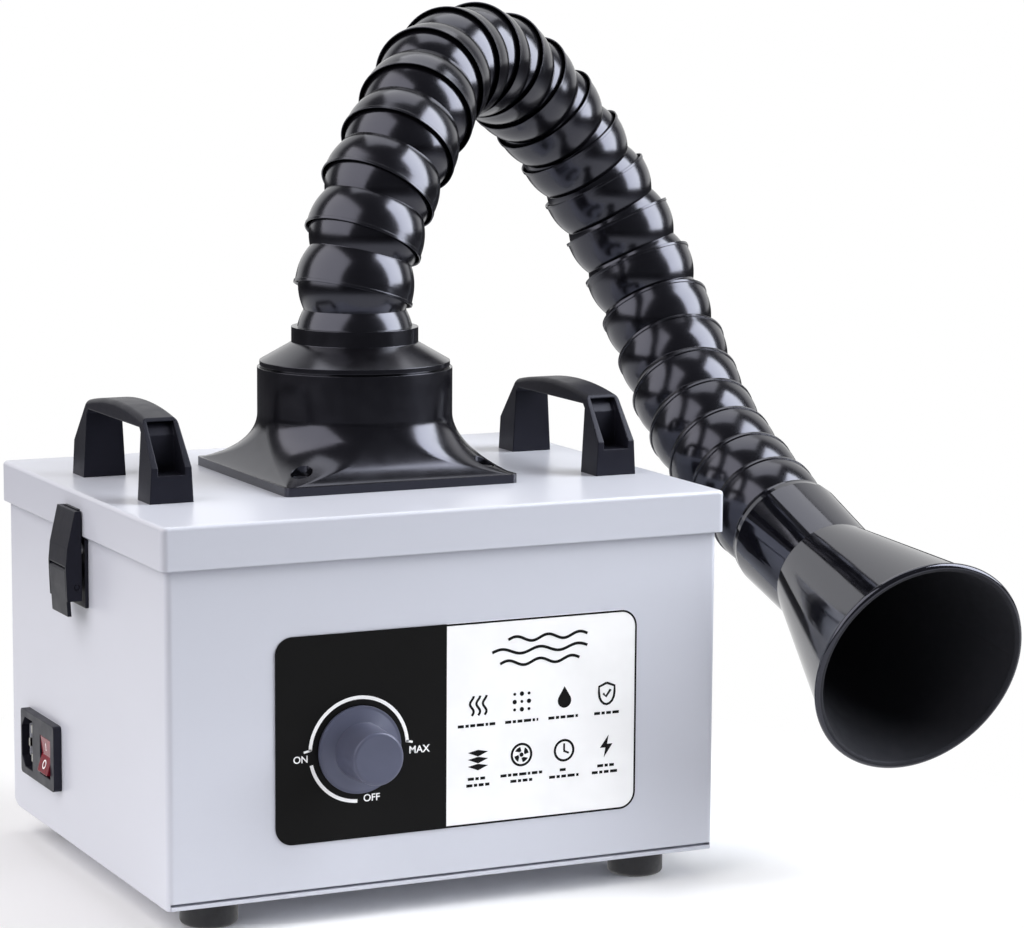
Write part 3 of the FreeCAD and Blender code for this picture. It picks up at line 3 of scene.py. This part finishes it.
import json
import math

import bpy
from mathutils import Matrix, Vector


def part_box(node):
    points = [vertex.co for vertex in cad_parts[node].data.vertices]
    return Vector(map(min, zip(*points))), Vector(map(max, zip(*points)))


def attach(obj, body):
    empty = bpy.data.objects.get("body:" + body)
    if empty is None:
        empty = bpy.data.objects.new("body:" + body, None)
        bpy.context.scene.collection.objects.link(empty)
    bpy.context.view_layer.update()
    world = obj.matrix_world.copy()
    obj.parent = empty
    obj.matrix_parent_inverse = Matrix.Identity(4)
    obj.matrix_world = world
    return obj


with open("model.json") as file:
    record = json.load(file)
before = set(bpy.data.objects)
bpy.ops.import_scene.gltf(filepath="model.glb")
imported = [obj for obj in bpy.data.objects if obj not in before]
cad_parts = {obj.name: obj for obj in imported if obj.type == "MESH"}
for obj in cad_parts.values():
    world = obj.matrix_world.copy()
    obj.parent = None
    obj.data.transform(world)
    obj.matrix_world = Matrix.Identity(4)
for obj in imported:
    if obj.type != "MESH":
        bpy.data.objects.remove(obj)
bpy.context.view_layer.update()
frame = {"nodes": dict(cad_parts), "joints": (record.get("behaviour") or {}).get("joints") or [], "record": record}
nodes = frame["nodes"]
scene = bpy.context.scene

MM = 0.001


# Materials

# Painted reflection colour: a cool lilac tint on the reflections of the plastics and the blackened steel, standing
# in for the colour of the studio light
PAINTED_REFLECTION_TINT = (0.80, 0.82, 1.0)
# Most of a noise texture's values lie between these two
NOISE_LOW = 0.3
NOISE_HIGH = 0.7
# Radius, in metres, by which a sharp edge looks rounded
SOFT_EDGE = 0.0004


class Finish:
    """A node material with a Principled shader and the textures that vary it."""

    def __init__(self, name):
        self.material = bpy.data.materials.new(name)
        self.material.use_nodes = True
        self.tree = self.material.node_tree
        self.shader = self.tree.nodes["Principled BSDF"]
        self.place = self.add("ShaderNodeTexCoord").outputs["Object"]

    def add(self, kind, **settings):
        node = self.tree.nodes.new(kind)
        for key, value in settings.items():
            setattr(node, key, value)
        return node

    def link(self, source, target):
        self.tree.links.new(source, target)

    def set(self, **values):
        for key, value in values.items():
            self.shader.inputs[key.replace("_", " ")].default_value = value

    def stretched(self, scale):
        """The piece's own coordinates, stretched by a scale for each axis."""
        mapping = self.add("ShaderNodeMapping")
        mapping.inputs["Scale"].default_value = scale
        self.link(self.place, mapping.inputs["Vector"])
        return mapping.outputs["Vector"]

    def noise(self, scale, detail=3.0, vector=None):
        node = self.add("ShaderNodeTexNoise")
        node.inputs["Scale"].default_value = scale
        node.inputs["Detail"].default_value = detail
        self.link(vector or self.place, node.inputs["Vector"])
        return node.outputs["Fac"]

    def cells(self, scale):
        node = self.add("ShaderNodeTexVoronoi", feature="SMOOTH_F1")
        node.inputs["Scale"].default_value = scale
        self.link(self.place, node.inputs["Vector"])
        return node.outputs["Distance"]

    def vary_colour(self, factor, colour, dark, light, low=NOISE_LOW, high=NOISE_HIGH):
        """A colour that goes from its dark share to its light one as the factor rises."""
        ramp = self.add("ShaderNodeValToRGB")
        start, end = ramp.color_ramp.elements
        start.position = low
        start.color = (*shade(colour, dark), 1)
        end.position = high
        end.color = (*shade(colour, light), 1)
        self.link(factor, ramp.inputs["Fac"])
        self.link(ramp.outputs["Color"], self.shader.inputs["Base Color"])

    def vary_roughness(self, factor, smooth, rough):
        spread = self.add("ShaderNodeMapRange")
        spread.inputs["From Min"].default_value = NOISE_LOW
        spread.inputs["From Max"].default_value = NOISE_HIGH
        spread.inputs["To Min"].default_value = smooth
        spread.inputs["To Max"].default_value = rough
        self.link(factor, spread.inputs["Value"])
        self.link(spread.outputs["Result"], self.shader.inputs["Roughness"])

    def bump(self, height, strength, depth, edge=SOFT_EDGE):
        """Fine relief, over sharp edges that are rounded a little so that they catch the light."""
        rounded = self.add("ShaderNodeBevel", samples=6)
        rounded.inputs["Radius"].default_value = edge
        node = self.add("ShaderNodeBump")
        node.inputs["Strength"].default_value = strength
        node.inputs["Distance"].default_value = depth
        self.link(height, node.inputs["Height"])
        self.link(rounded.outputs["Normal"], node.inputs["Normal"])
        self.link(node.outputs["Normal"], self.shader.inputs["Normal"])


def shade(colour, factor):
    return tuple(channel * factor for channel in colour)


def painted_steel():
    """Gloss paint: an even cool grey with the slight orange peel of a sprayed coat."""
    paint = (0.575, 0.590, 0.662)
    finish = Finish("painted_steel")
    finish.vary_colour(finish.noise(5, detail=2), paint, dark=0.993, light=1.007, low=0.2, high=0.8)
    finish.vary_roughness(finish.noise(18, detail=1), smooth=0.28, rough=0.31)
    finish.bump(finish.noise(420, detail=1), strength=0.012, depth=0.0002, edge=0.0007)
    return finish.material


def black_rubber():
    """Matt rubber with a coarse tooth."""
    colour = (0.012, 0.012, 0.016)
    finish = Finish("black_rubber")
    finish.vary_colour(finish.noise(160, detail=4), colour, dark=0.8, light=1.25)
    finish.vary_roughness(finish.noise(300), smooth=0.45, rough=0.62)
    finish.bump(finish.noise(1400), strength=0.12, depth=0.0001)
    return finish.material


def black_steel():
    """Blackened steel: a dark, thin and slightly uneven coat."""
    colour = (0.010, 0.010, 0.013)
    finish = Finish("black_steel")
    # Painted reflection colour: the blackened steel's reflections are tinted a cool lilac
    finish.set(Specular_IOR_Level=0.3, Specular_Tint=(*PAINTED_REFLECTION_TINT, 1))
    finish.vary_colour(finish.noise(220, detail=4), colour, dark=0.7, light=1.3)
    finish.vary_roughness(finish.noise(400), smooth=0.32, rough=0.48)
    finish.bump(finish.noise(1800, detail=2), strength=0.08, depth=0.0001, edge=0.0002)
    return finish.material


def filter_media():
    """Matted fibres."""
    colour = (0.62, 0.62, 0.58)
    finish = Finish("filter_media")
    fibres = finish.noise(500, detail=6, vector=finish.stretched((1, 1, 6)))
    finish.vary_colour(fibres, colour, dark=0.75, light=1.1)
    finish.vary_roughness(fibres, smooth=0.85, rough=1.0)
    finish.bump(fibres, strength=0.6, depth=0.0008)
    return finish.material


def moulded_plastic(name, colour, smooth, rough, grain, relief, tint=0.12, sheen=0.5, edge=SOFT_EDGE):
    """Injection-moulded plastic with a painted cool tint on its reflections, a fine mould grain and slight flow
    marks.
    """
    finish = Finish(name)
    # Painted reflection colour: the plastic's reflections are tinted a cool lilac
    finish.set(Specular_IOR_Level=sheen, Specular_Tint=(*PAINTED_REFLECTION_TINT, 1))
    finish.vary_colour(finish.noise(45), colour, dark=1 - tint, light=1 + tint)
    finish.vary_roughness(finish.noise(120), smooth, rough)
    finish.bump(finish.cells(grain), strength=relief, depth=0.0001, edge=edge)
    return finish.material


def bare_metal(name, colour, smooth, rough, stretch=(1, 1, 1)):
    """Bare or plated metal with the fine lines of its rolling or turning."""
    finish = Finish(name)
    finish.set(Metallic=1.0)
    lines = finish.noise(700, vector=finish.stretched(stretch))
    finish.vary_colour(lines, colour, dark=0.9, light=1.05)
    finish.vary_roughness(lines, smooth, rough)
    finish.bump(lines, strength=0.04, depth=0.0001, edge=0.0002)
    return finish.material


def printed_film(name, colour):
    """Printed film: an even ink with a very fine tooth."""
    finish = Finish(name)
    finish.set(Specular_IOR_Level=0.1)
    finish.vary_colour(finish.noise(40), colour, dark=0.97, light=1.03)
    finish.vary_roughness(finish.noise(80, detail=2), smooth=0.38, rough=0.46)
    finish.bump(finish.noise(2500, detail=2), strength=0.03, depth=0.00005, edge=0.0001)
    return finish.material


PLASTICS = {
    "charcoal_plastic": dict(colour=(0.009, 0.009, 0.014), smooth=0.36, rough=0.44,
                             grain=1600, relief=0.20, sheen=0.25, edge=0.0009),
    "arm_plastic": dict(colour=(0.0032, 0.0030, 0.0040), smooth=0.17, rough=0.22,
                        grain=1200, relief=0.03, sheen=0.75),
    "hood_plastic": dict(colour=(0.0035, 0.0035, 0.0050), smooth=0.06, rough=0.10,
                         grain=500, relief=0.01, sheen=0.8),
    "hood_lining": dict(colour=(0.006, 0.006, 0.007), smooth=0.70, rough=0.80,
                        grain=900, relief=0.10),
    "knob_plastic": dict(colour=(0.080, 0.086, 0.130), smooth=0.30, rough=0.38,
                         grain=1500, relief=0.10, tint=0.08),
    "inlet_plastic": dict(colour=(0.011, 0.011, 0.017), smooth=0.36, rough=0.46,
                          grain=1500, relief=0.15, sheen=0.3, edge=0.0007),
    "rocker_red": dict(colour=(0.17, 0.004, 0.012), smooth=0.16, rough=0.22,
                       grain=900, relief=0.03),
    "fan_plastic": dict(colour=(0.02, 0.02, 0.022), smooth=0.35, rough=0.45,
                        grain=1200, relief=0.12),
}
METALS = {
    "zinc_steel": dict(colour=(0.62, 0.62, 0.64), smooth=0.25, rough=0.4),
    "pin_brass": dict(colour=(0.42, 0.41, 0.38), smooth=0.15, rough=0.28),
    "deck_steel": dict(colour=(0.50, 0.51, 0.53), smooth=0.35, rough=0.5, stretch=(1, 6, 1)),
    "motor_steel": dict(colour=(0.42, 0.42, 0.44), smooth=0.3, rough=0.45, stretch=(1, 1, 6)),
}
FILMS = {
    "label_black": (0.0055, 0.0055, 0.0058),
    "label_white": (0.93, 0.93, 0.94),
}


def make_materials():
    """Every finish, by its name."""
    made = {
        "painted_steel": painted_steel(),
        "black_rubber": black_rubber(),
        "black_steel": black_steel(),
        "filter_media": filter_media(),
    }
    for name, look in PLASTICS.items():
        made[name] = moulded_plastic(name, **look)
    for name, look in METALS.items():
        made[name] = bare_metal(name, **look)
    for name, colour in FILMS.items():
        made[name] = printed_film(name, colour)
    return made


materials = make_materials()


def dress_nodes():
    """Gives every solid the material of its slot."""
    for part in frame["record"]["subparts"]:
        mesh = nodes[part["node"]].data
        mesh.materials.clear()
        mesh.materials.append(materials[part["material_slot"]])


# The way the hood points, in degrees: its tilt from straight up, and its heading round from the right
HOOD_TILT = 108.5
HOOD_HEADING = -91.7


def dress_hood():
    """The hood is polished outside and dull inside."""
    joint = next(joint for joint in frame["joints"] if joint["name"] == "hood_tilt")
    middle = Vector(joint["pos_m"])
    tilt = math.radians(HOOD_TILT)
    heading = math.radians(HOOD_HEADING)
    level = math.sin(tilt)
    along = Vector((level * math.cos(heading), level * math.sin(heading), math.cos(tilt)))
    mesh = nodes["hood"].data
    mesh.materials.append(materials["hood_lining"])
    for face in mesh.polygons:
        out = face.center - middle
        out -= along * out.dot(along)
        if face.normal.dot(out) < 0:
            face.material_index = 1


dress_nodes()
dress_hood()


# Print on the label and the rocker, in millimetres: x to the right and z up from the floor

INK_THICK = 0.08
LABEL_CORNER = 8.0
BORDER_LINE = 0.9
CORNER_POINTS = 13

KNOB_AXIS = (-45.1, 77.8)
SCALE_RADIUS = 23.4
SCALE_LINE = 1.6
# Where each arc of the scale starts and ends, in degrees
SCALE_ARCS = ((3, 177), (193, 268))
# The ticks at the scale's ends: side, how far they reach past the scale, height of the outer end
SCALE_TICKS = ((-1, 3.0, 0.8), (1, 2.6, 0.9))
TICK_LAP = 0.6
TICK_HIGH = 1.6
TICK_LINE = 1.0
# The words of the scale: piece, text, middle and height
SCALE_WORDS = [
    ("scale_on", "ON", (-73.0, 75.4), 3.2),
    ("scale_max", "MAX", (-15.9, 75.0), 3.4),
    ("scale_off", "OFF", (-39.0, 55.2), 3.3),
]
# A capital's height as a share of its font's size
CAPITAL_SHARE = 0.72
# How far a letter's outline is moved out to make it bolder, as a share of its height
BOLDER = 0.02

ICON_COLUMNS = (13.2, 35.0, 56.6, 78.2)
ICON_ROWS = (92.4, 67.8)
ICON_LINE = 1.1
HAND_LINE = 0.9

# Each icon's caption lines by their widths, a row of icons at a time
CAPTIONS = [
    [(20.2,), (16.6,), (16.2,), (12.7,)],
    [(10.0, 11.5), (21.0, 11.0), (4.2, 15.0), (9.0, 14.5)],
]
CAPTION_DROP = 9.0
CAPTION_STEP = 3.0
CAPTION_LINE = 1.3
CAPTION_GAP = 0.8
CAPTION_WORDS = (3.0, 1.6, 2.4, 3.6, 1.2, 2.8)

# The lines of the air-flow sign, from the lowest up: left end and length
AIR_LINES = ((24.0, 40.0), (20.0, 48.0), (28.0, 40.0))
AIR_LOW = 110.5
AIR_STEP = 5.4
AIR_SWING = 1.2
AIR_TURNS = 2.5
AIR_LINE = 1.3
AIR_POINTS = 81

ROCKER_LINE = 0.7
ROCKER_MARK = 1.9
# How closely a face's direction has to agree: with straight out of the wall, and with the half it belongs to
FACES_OUT = 0.9
SAME_FACE = 0.999


class Print:
    """Ink on a flat face: thin raised shapes, drawn in millimetres across and up the face."""

    def __init__(self, name, body, slot, place):
        self.name = name
        self.body = body
        self.slot = slot
        self.place = place
        self.vertices = []
        self.faces = []

    def area(self, outline):
        """Raises one outline, given anticlockwise as it is read."""
        first = len(self.vertices)
        count = len(outline)
        for depth in (0, INK_THICK * MM):
            for across, up in outline:
                self.vertices.append(self.place @ Vector((across * MM, up * MM, depth)))
        back = [first + n for n in range(count)]
        front = [first + count + n for n in range(count)]
        self.faces.append(front)
        self.faces.append(back[::-1])
        for n in range(count):
            after = (n + 1) % count
            self.faces.append((back[n], back[after], front[after], front[n]))

    def line(self, points, width):
        """A stroke of even width along the points."""
        left, right = [], []
        last = len(points) - 1
        for n, point in enumerate(points):
            way = Vector(points[min(n + 1, last)]) - Vector(points[max(n - 1, 0)])
            side = Vector((-way.y, way.x)).normalized() * width / 2
            left.append(tuple(Vector(point) + side))
            right.append(tuple(Vector(point) - side))
        self.area(right + left[::-1])

    def ring(self, middle, radius, width):
        """A circle, as two half strokes."""
        for start in (0, 180):
            self.line(arc(middle, radius, start, start + 180), width)

    def disc(self, middle, radius, corners=24):
        step = 360 / corners
        self.area(arc(middle, radius, 0, 360 - step, corners))

    def make(self):
        mesh = bpy.data.meshes.new(self.name)
        mesh.from_pydata(self.vertices, [], self.faces)
        mesh.materials.append(materials[self.slot])
        piece = bpy.data.objects.new(self.name, mesh)
        scene.collection.objects.link(piece)
        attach(piece, self.body)


def flat_place(origin, across, out):
    """Turns a flat face's own directions, across, up and out, into the scene's."""
    place = Matrix((across, out.cross(across), out)).transposed().to_4x4()
    place.translation = origin
    return place


LABEL_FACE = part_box("label_dark")[0].y
LABEL_PLACE = flat_place(Vector((0, LABEL_FACE, 0)), Vector((1, 0, 0)), Vector((0, -1, 0)))


def arc(middle, radius, start, end, count=33):
    """Points round a middle, in degrees from the right and anticlockwise."""
    points = []
    for n in range(count):
        angle = math.radians(start + (end - start) * n / (count - 1))
        points.append((middle[0] + radius * math.cos(angle), middle[1] + radius * math.sin(angle)))
    return points


def wave(start, length, swing, turns, upright=False, count=41):
    """Points along a wavy line from its start, level or upright."""
    points = []
    for n in range(count):
        along = length * n / (count - 1)
        side = swing * math.sin(2 * math.pi * turns * n / (count - 1))
        step = (side, along) if upright else (along, side)
        points.append((start[0] + step[0], start[1] + step[1]))
    return points


def label_outline(inset):
    """The label's rounded edge, from its middle left round and back, moved in by an inset."""
    low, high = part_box("label_dark")[0] / MM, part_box("label_light")[1] / MM
    radius = LABEL_CORNER - inset
    left, right = low.x + LABEL_CORNER, high.x - LABEL_CORNER
    bottom, top = low.z + LABEL_CORNER, high.z - LABEL_CORNER
    points = [(low.x + inset, (bottom + top) / 2)]
    for turn, middle in enumerate(((left, bottom), (right, bottom), (right, top), (left, top))):
        start = 180 + 90 * turn
        points += arc(middle, radius, start, start + 90, CORNER_POINTS)
    return points + points[:1]


def make_border():
    """The dark line round the label's edge."""
    border = Print("label_border", "case", "label_black", LABEL_PLACE)
    points = label_outline(BORDER_LINE / 2)
    half = len(points) // 2
    border.line(points[:half + 1], BORDER_LINE)
    border.line(points[half:], BORDER_LINE)
    border.make()


def write(name, text, place, height, slot):
    """One word of the knob's scale, its middle at a place on the label."""
    data = bpy.data.curves.new(name, "FONT")
    data.body = text
    data.size = height * MM / CAPITAL_SHARE
    data.align_x = "CENTER"
    data.align_y = "CENTER"
    data.extrude = INK_THICK * MM
    data.offset = BOLDER * height * MM
    data.materials.append(materials[slot])
    piece = bpy.data.objects.new(name, data)
    scene.collection.objects.link(piece)
    piece.location = (place[0] * MM, LABEL_FACE, place[1] * MM)
    piece.rotation_euler = (math.radians(90), 0, 0)
    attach(piece, "case")


def make_scale():
    """The white scale round the knob, with its words."""
    scale = Print("knob_scale", "case", "label_white", LABEL_PLACE)
    for start, end in SCALE_ARCS:
        scale.line(arc(KNOB_AXIS, SCALE_RADIUS, start, end), SCALE_LINE)
    x, z = KNOB_AXIS
    for side, past, up in SCALE_TICKS:
        near = (x + side * (SCALE_RADIUS - TICK_LAP), z + TICK_HIGH)
        far = (x + side * (SCALE_RADIUS + past), z + up)
        scale.line([near, far], TICK_LINE)
    scale.make()
    for name, text, place, height in SCALE_WORDS:
        write(name, text, place, height, "label_white")


def draw_fumes(ink, x, z):
    """Three wavy lines that rise side by side."""
    spacing = 3.2
    height = 9
    for step in (-spacing, 0, spacing):
        start = (x + step, z - height / 2)
        ink.line(wave(start, height, swing=0.9, turns=1.25, upright=True), ICON_LINE)


def draw_dots(ink, x, z):
    """Nine dots, small and large by turns."""
    spacing = 3.6
    small = 0.7
    larger_by = 0.35
    for row in (-1, 0, 1):
        for column in (-1, 0, 1):
            place = (x + column * spacing, z + row * spacing)
            ink.disc(place, small + larger_by * ((row + column) % 2))


def draw_drop(ink, x, z):
    radius = 3.4
    middle = (x, z - 1.4)
    tip = (x, z + 5.2)
    ink.area(arc(middle, radius, 150, 390) + [tip])


def draw_shield(ink, x, z):
    """A shield with a tick in it."""
    half = 4
    tip = 5
    shoulder = 3.4
    waist = 0.6
    depth = 5.6
    angles = (0, 0.4, 0.8, 1.2)
    left = [(x - half * math.cos(a), z + waist - depth * math.sin(a)) for a in angles]
    right = [(2 * x - across, up) for across, up in reversed(left)]
    top = (x, z + tip)
    foot = (x, z - tip)
    outline = [top, (x - half, z + shoulder), *left, foot, *right, (x + half, z + shoulder), top]
    ink.line(outline, ICON_LINE)
    ink.line([(x - 1.8, z + 0.2), (x - 0.4, z - 1.4), (x + 2, z + 1.8)], ICON_LINE)


def draw_layers(ink, x, z):
    """Three layers, one over the other."""
    spacing = 3.2
    half = 5
    for step in (-spacing, 0, spacing):
        up = z + step
        ink.area([(x - half, up), (x, up - 2), (x + half, up), (x, up + 1)])


def draw_fan(ink, x, z):
    """A ring with a hub and four swept blades."""
    middle = (x, z)
    ink.ring(middle, 4.9, ICON_LINE)
    ink.disc(middle, 1.0)
    for turn in range(4):
        start = 90 * turn
        root = arc(middle, 1.5, start, start + 40, count=5)
        end = arc(middle, 3.6, start + 62, start + 10, count=7)
        ink.area(root + end)


def draw_clock(ink, x, z):
    ink.ring((x, z), 4.7, ICON_LINE)
    ink.line([(x, z + 3.2), (x, z)], HAND_LINE)
    ink.line([(x - 0.3, z - 0.2), (x + 2.4, z - 1.4)], HAND_LINE)


def draw_bolt(ink, x, z):
    shape = [(1.2, 5.2), (-3.2, -0.6), (-0.4, -0.6), (-1.2, -5.2), (3.2, 1.0), (0.4, 1.0)]
    ink.area([(x + across, z + up) for across, up in shape])


def draw_caption(ink, x, z, width):
    """A line of small dashes that stands for a caption."""
    across = x - width / 2
    end = x + width / 2
    word = 0
    while across < end - CAPTION_GAP:
        stop = min(across + CAPTION_WORDS[word % len(CAPTION_WORDS)], end)
        ink.line([(across, z), (stop, z)], CAPTION_LINE)
        across = stop + CAPTION_GAP
        word += 1


ICONS = [
    [draw_fumes, draw_dots, draw_drop, draw_shield],
    [draw_layers, draw_fan, draw_clock, draw_bolt],
]


def make_signs():
    """Eight small icons with their captions, under a wavy air-flow sign."""
    ink = Print("label_signs", "case", "label_black", LABEL_PLACE)
    for row, z in enumerate(ICON_ROWS):
        for column, x in enumerate(ICON_COLUMNS):
            ICONS[row][column](ink, x, z)
            for line, width in enumerate(CAPTIONS[row][column]):
                draw_caption(ink, x, z - CAPTION_DROP - CAPTION_STEP * line, width)
    for level, (left, length) in enumerate(AIR_LINES):
        start = (left, AIR_LOW + AIR_STEP * level)
        ink.line(wave(start, length, AIR_SWING, AIR_TURNS, count=AIR_POINTS), AIR_LINE)
    ink.make()


def half_of_rocker(way):
    """The place at the middle of the rocker's lower (-1) or upper (1) half."""
    mesh = nodes["rocker"].data
    outer = [face for face in mesh.polygons if face.normal.x < -FACES_OUT]
    half = max(outer, key=lambda face: way * face.center.z)
    flat = [face for face in outer if face.normal.dot(half.normal) > SAME_FACE]
    corner = mesh.vertices[flat[0].vertices[0]].co
    middle = sum((face.center * face.area for face in flat), Vector()) / sum(face.area for face in flat)
    middle += half.normal * (corner - middle).dot(half.normal)
    return flat_place(middle, Vector((0, -1, 0)), half.normal)


def make_rocker_marks():
    """O on the rocker's lower half and I on its upper half."""
    off = Print("rocker_mark_off", "rocker", "label_white", half_of_rocker(-1))
    off.ring((0, 0), ROCKER_MARK, ROCKER_LINE)
    off.make()
    on = Print("rocker_mark_on", "rocker", "label_white", half_of_rocker(1))
    on.line([(0, -ROCKER_MARK), (0, ROCKER_MARK)], ROCKER_LINE)
    on.make()


make_border()
make_scale()
make_signs()
make_rocker_marks()


# Floor, light and camera, in metres and degrees

CAMERA_AZIMUTH = -25.7878
CAMERA_ELEVATION = 8.1019
CAMERA_ROLL = 0.3752
CAMERA_DISTANCE = 1.6508
CAMERA_TARGET = Vector((0.0829, 0.0, 0.1837))
CAMERA_LENS = 119.95
CAMERA_SENSOR = 36.0
CAMERA_NEAR = 0.05
CAMERA_FAR = 300.0

# The lamps: azimuth, elevation and distance from the aim, size, power and colour
LAMP_AIM = Vector((0.05, 0, 0.2))
LAMPS = {
    "softbox_left": dict(azimuth=-90, elevation=34, distance=1.6, width=2.3, height=1.9,
                         power=33, colour=(1.0, 0.97, 0.96)),
    "softbox_right": dict(azimuth=64, elevation=30, distance=1.5, width=1.0, height=1.5,
                          power=45, colour=(0.955, 0.98, 1.0)),
    "softbox_top": dict(azimuth=150, elevation=70, distance=1.7, width=1.2, height=1.2,
                        power=9, colour=(1, 1, 1)),
}

STUDIO_COLOUR = (0.93, 0.94, 1.0)
STUDIO_LEVEL = 0.12
# The elevations up to which the surround and the backdrop are white, and the fade over them
SURROUND_TOP = 9
BACKDROP_TOP = 50
BACKDROP_FADE = 2
# The backdrop's sides, as the cosine of the angle from straight behind the object: none, and all of it
BACKDROP_SIDES = (0.5, 0.7)

FLOOR_REACH = 80.0
TABLE_WHITE = (0.93, 0.93, 0.94)
STUDIO_FLOOR = (0.10, 0.10, 0.11)
# Distances from the middle of the floor: where the table ends, and where the floor looks white
# to the camera and in mirrors
TABLE_EDGE = (0.26, 0.60)
FLOOR_FADE = (0.15, 0.36)
MIRROR_FADE = (1.3, 0.8)


def direction(azimuth, elevation):
    """From the object towards a viewer or lamp; azimuth 0 is the front and 90 the right."""
    a = math.radians(azimuth)
    e = math.radians(elevation)
    return Vector((math.sin(a) * math.cos(e), -math.cos(a) * math.cos(e), math.sin(e)))


def joined(tree, operation, first, second):
    node = tree.nodes.new("ShaderNodeMath")
    node.operation = operation
    tree.links.new(first, node.inputs[0])
    tree.links.new(second, node.inputs[1])
    return node.outputs["Value"]


def faded(tree, value, start, end):
    """0 where the value is at the start and 1 at the end, smoothly between."""
    node = tree.nodes.new("ShaderNodeMapRange")
    node.interpolation_type = "SMOOTHSTEP"
    node.inputs["From Min"].default_value = start
    node.inputs["From Max"].default_value = end
    tree.links.new(value, node.inputs["Value"])
    return node.outputs["Result"]


def below(tree, height, elevation):
    """1 for directions below an elevation, with a short fade above it."""
    top = math.sin(math.radians(elevation + BACKDROP_FADE))
    return faded(tree, height, top, math.sin(math.radians(elevation)))


def whiten(tree, plain, white, direct, mirrored, output):
    """Mixes white into a plain shader: one share as the camera and glass see it, another in mirrors."""
    rays = tree.nodes.new("ShaderNodeLightPath")
    seen = joined(tree, "MAXIMUM", rays.outputs["Is Camera Ray"], rays.outputs["Is Transmission Ray"])
    straight = joined(tree, "MULTIPLY", direct, seen)
    reflected = joined(tree, "MULTIPLY", mirrored, rays.outputs["Is Glossy Ray"])
    mix = tree.nodes.new("ShaderNodeMixShader")
    tree.links.new(joined(tree, "MAXIMUM", straight, reflected), mix.inputs["Fac"])
    tree.links.new(plain, mix.inputs[1])
    tree.links.new(white, mix.inputs[2])
    tree.links.new(mix.outputs["Shader"], tree.nodes[output].inputs["Surface"])


def floor_material():
    """A white table in a dim studio; near the object it keeps the shadow, further out it looks white."""
    material = bpy.data.materials.new("floor")
    material.use_nodes = True
    tree = material.node_tree
    table = tree.nodes["Principled BSDF"]
    table.inputs["Roughness"].default_value = 0.9
    table.inputs["Specular IOR Level"].default_value = 0.1
    place = tree.nodes.new("ShaderNodeTexCoord")
    length = tree.nodes.new("ShaderNodeVectorMath")
    length.operation = "LENGTH"
    tree.links.new(place.outputs["Object"], length.inputs[0])
    distance = length.outputs["Value"]
    ramp = tree.nodes.new("ShaderNodeValToRGB")
    ramp.color_ramp.elements[0].color = (*TABLE_WHITE, 1)
    ramp.color_ramp.elements[1].color = (*STUDIO_FLOOR, 1)
    tree.links.new(faded(tree, distance, *TABLE_EDGE), ramp.inputs["Fac"])
    tree.links.new(ramp.outputs["Color"], table.inputs["Base Color"])
    white = tree.nodes.new("ShaderNodeEmission")
    direct = faded(tree, distance, *FLOOR_FADE)
    mirrored = faded(tree, distance, *MIRROR_FADE)
    whiten(tree, table.outputs["BSDF"], white.outputs["Emission"], direct, mirrored, "Material Output")
    return material


def make_floor():
    reach = FLOOR_REACH
    corners = [(-reach, -reach, 0), (reach, -reach, 0), (reach, reach, 0), (-reach, reach, 0)]
    mesh = bpy.data.meshes.new("floor")
    mesh.from_pydata(corners, [], [(0, 1, 2, 3)])
    mesh.materials.append(floor_material())
    floor = bpy.data.objects.new("floor", mesh)
    scene.collection.objects.link(floor)


def make_world():
    """A dim, even studio, a white surround just over the floor and a white backdrop behind the object."""
    world = bpy.data.worlds.new("studio")
    world.use_nodes = True
    scene.world = world
    tree = world.node_tree
    ambient = tree.nodes["Background"]
    ambient.inputs["Color"].default_value = (*STUDIO_COLOUR, 1)
    ambient.inputs["Strength"].default_value = STUDIO_LEVEL
    white = tree.nodes.new("ShaderNodeBackground")
    white.inputs["Color"].default_value = (1, 1, 1, 1)
    place = tree.nodes.new("ShaderNodeTexCoord")
    split = tree.nodes.new("ShaderNodeSeparateXYZ")
    tree.links.new(place.outputs["Generated"], split.inputs["Vector"])
    height = split.outputs["Z"]
    behind = tree.nodes.new("ShaderNodeVectorMath")
    behind.operation = "DOT_PRODUCT"
    behind.inputs[1].default_value = -direction(CAMERA_AZIMUTH, 0)
    tree.links.new(place.outputs["Generated"], behind.inputs[0])
    sides = faded(tree, behind.outputs["Value"], *BACKDROP_SIDES)
    backdrop = joined(tree, "MULTIPLY", below(tree, height, BACKDROP_TOP), sides)
    surround = joined(tree, "MAXIMUM", below(tree, height, SURROUND_TOP), backdrop)
    dim = ambient.outputs["Background"]
    whiten(tree, dim, white.outputs["Background"], surround, backdrop, "World Output")


def make_softbox(name, azimuth, elevation, distance, width, height, power, colour):
    data = bpy.data.lights.new(name, "AREA")
    data.shape = "RECTANGLE"
    data.size = width
    data.size_y = height
    data.energy = power
    data.color = colour
    lamp = bpy.data.objects.new(name, data)
    scene.collection.objects.link(lamp)
    towards = direction(azimuth, elevation)
    lamp.location = LAMP_AIM + towards * distance
    lamp.rotation_euler = towards.to_track_quat("Z", "Y").to_euler()


def make_camera():
    data = bpy.data.cameras.new("camera")
    data.lens = CAMERA_LENS
    data.sensor_width = CAMERA_SENSOR
    data.clip_start = CAMERA_NEAR
    data.clip_end = CAMERA_FAR
    camera = bpy.data.objects.new("camera", data)
    scene.collection.objects.link(camera)
    back = direction(CAMERA_AZIMUTH, CAMERA_ELEVATION)
    level = (-back).to_track_quat("-Z", "Y").to_matrix().to_4x4()
    turn = Matrix.Rotation(math.radians(CAMERA_ROLL), 4, "Z")
    camera.matrix_world = Matrix.Translation(CAMERA_TARGET + back * CAMERA_DISTANCE) @ level @ turn
    scene.camera = camera


make_floor()
make_world()
for name, lamp in LAMPS.items():
    make_softbox(name, **lamp)
make_camera()
scene.view_settings.view_transform = "Standard"
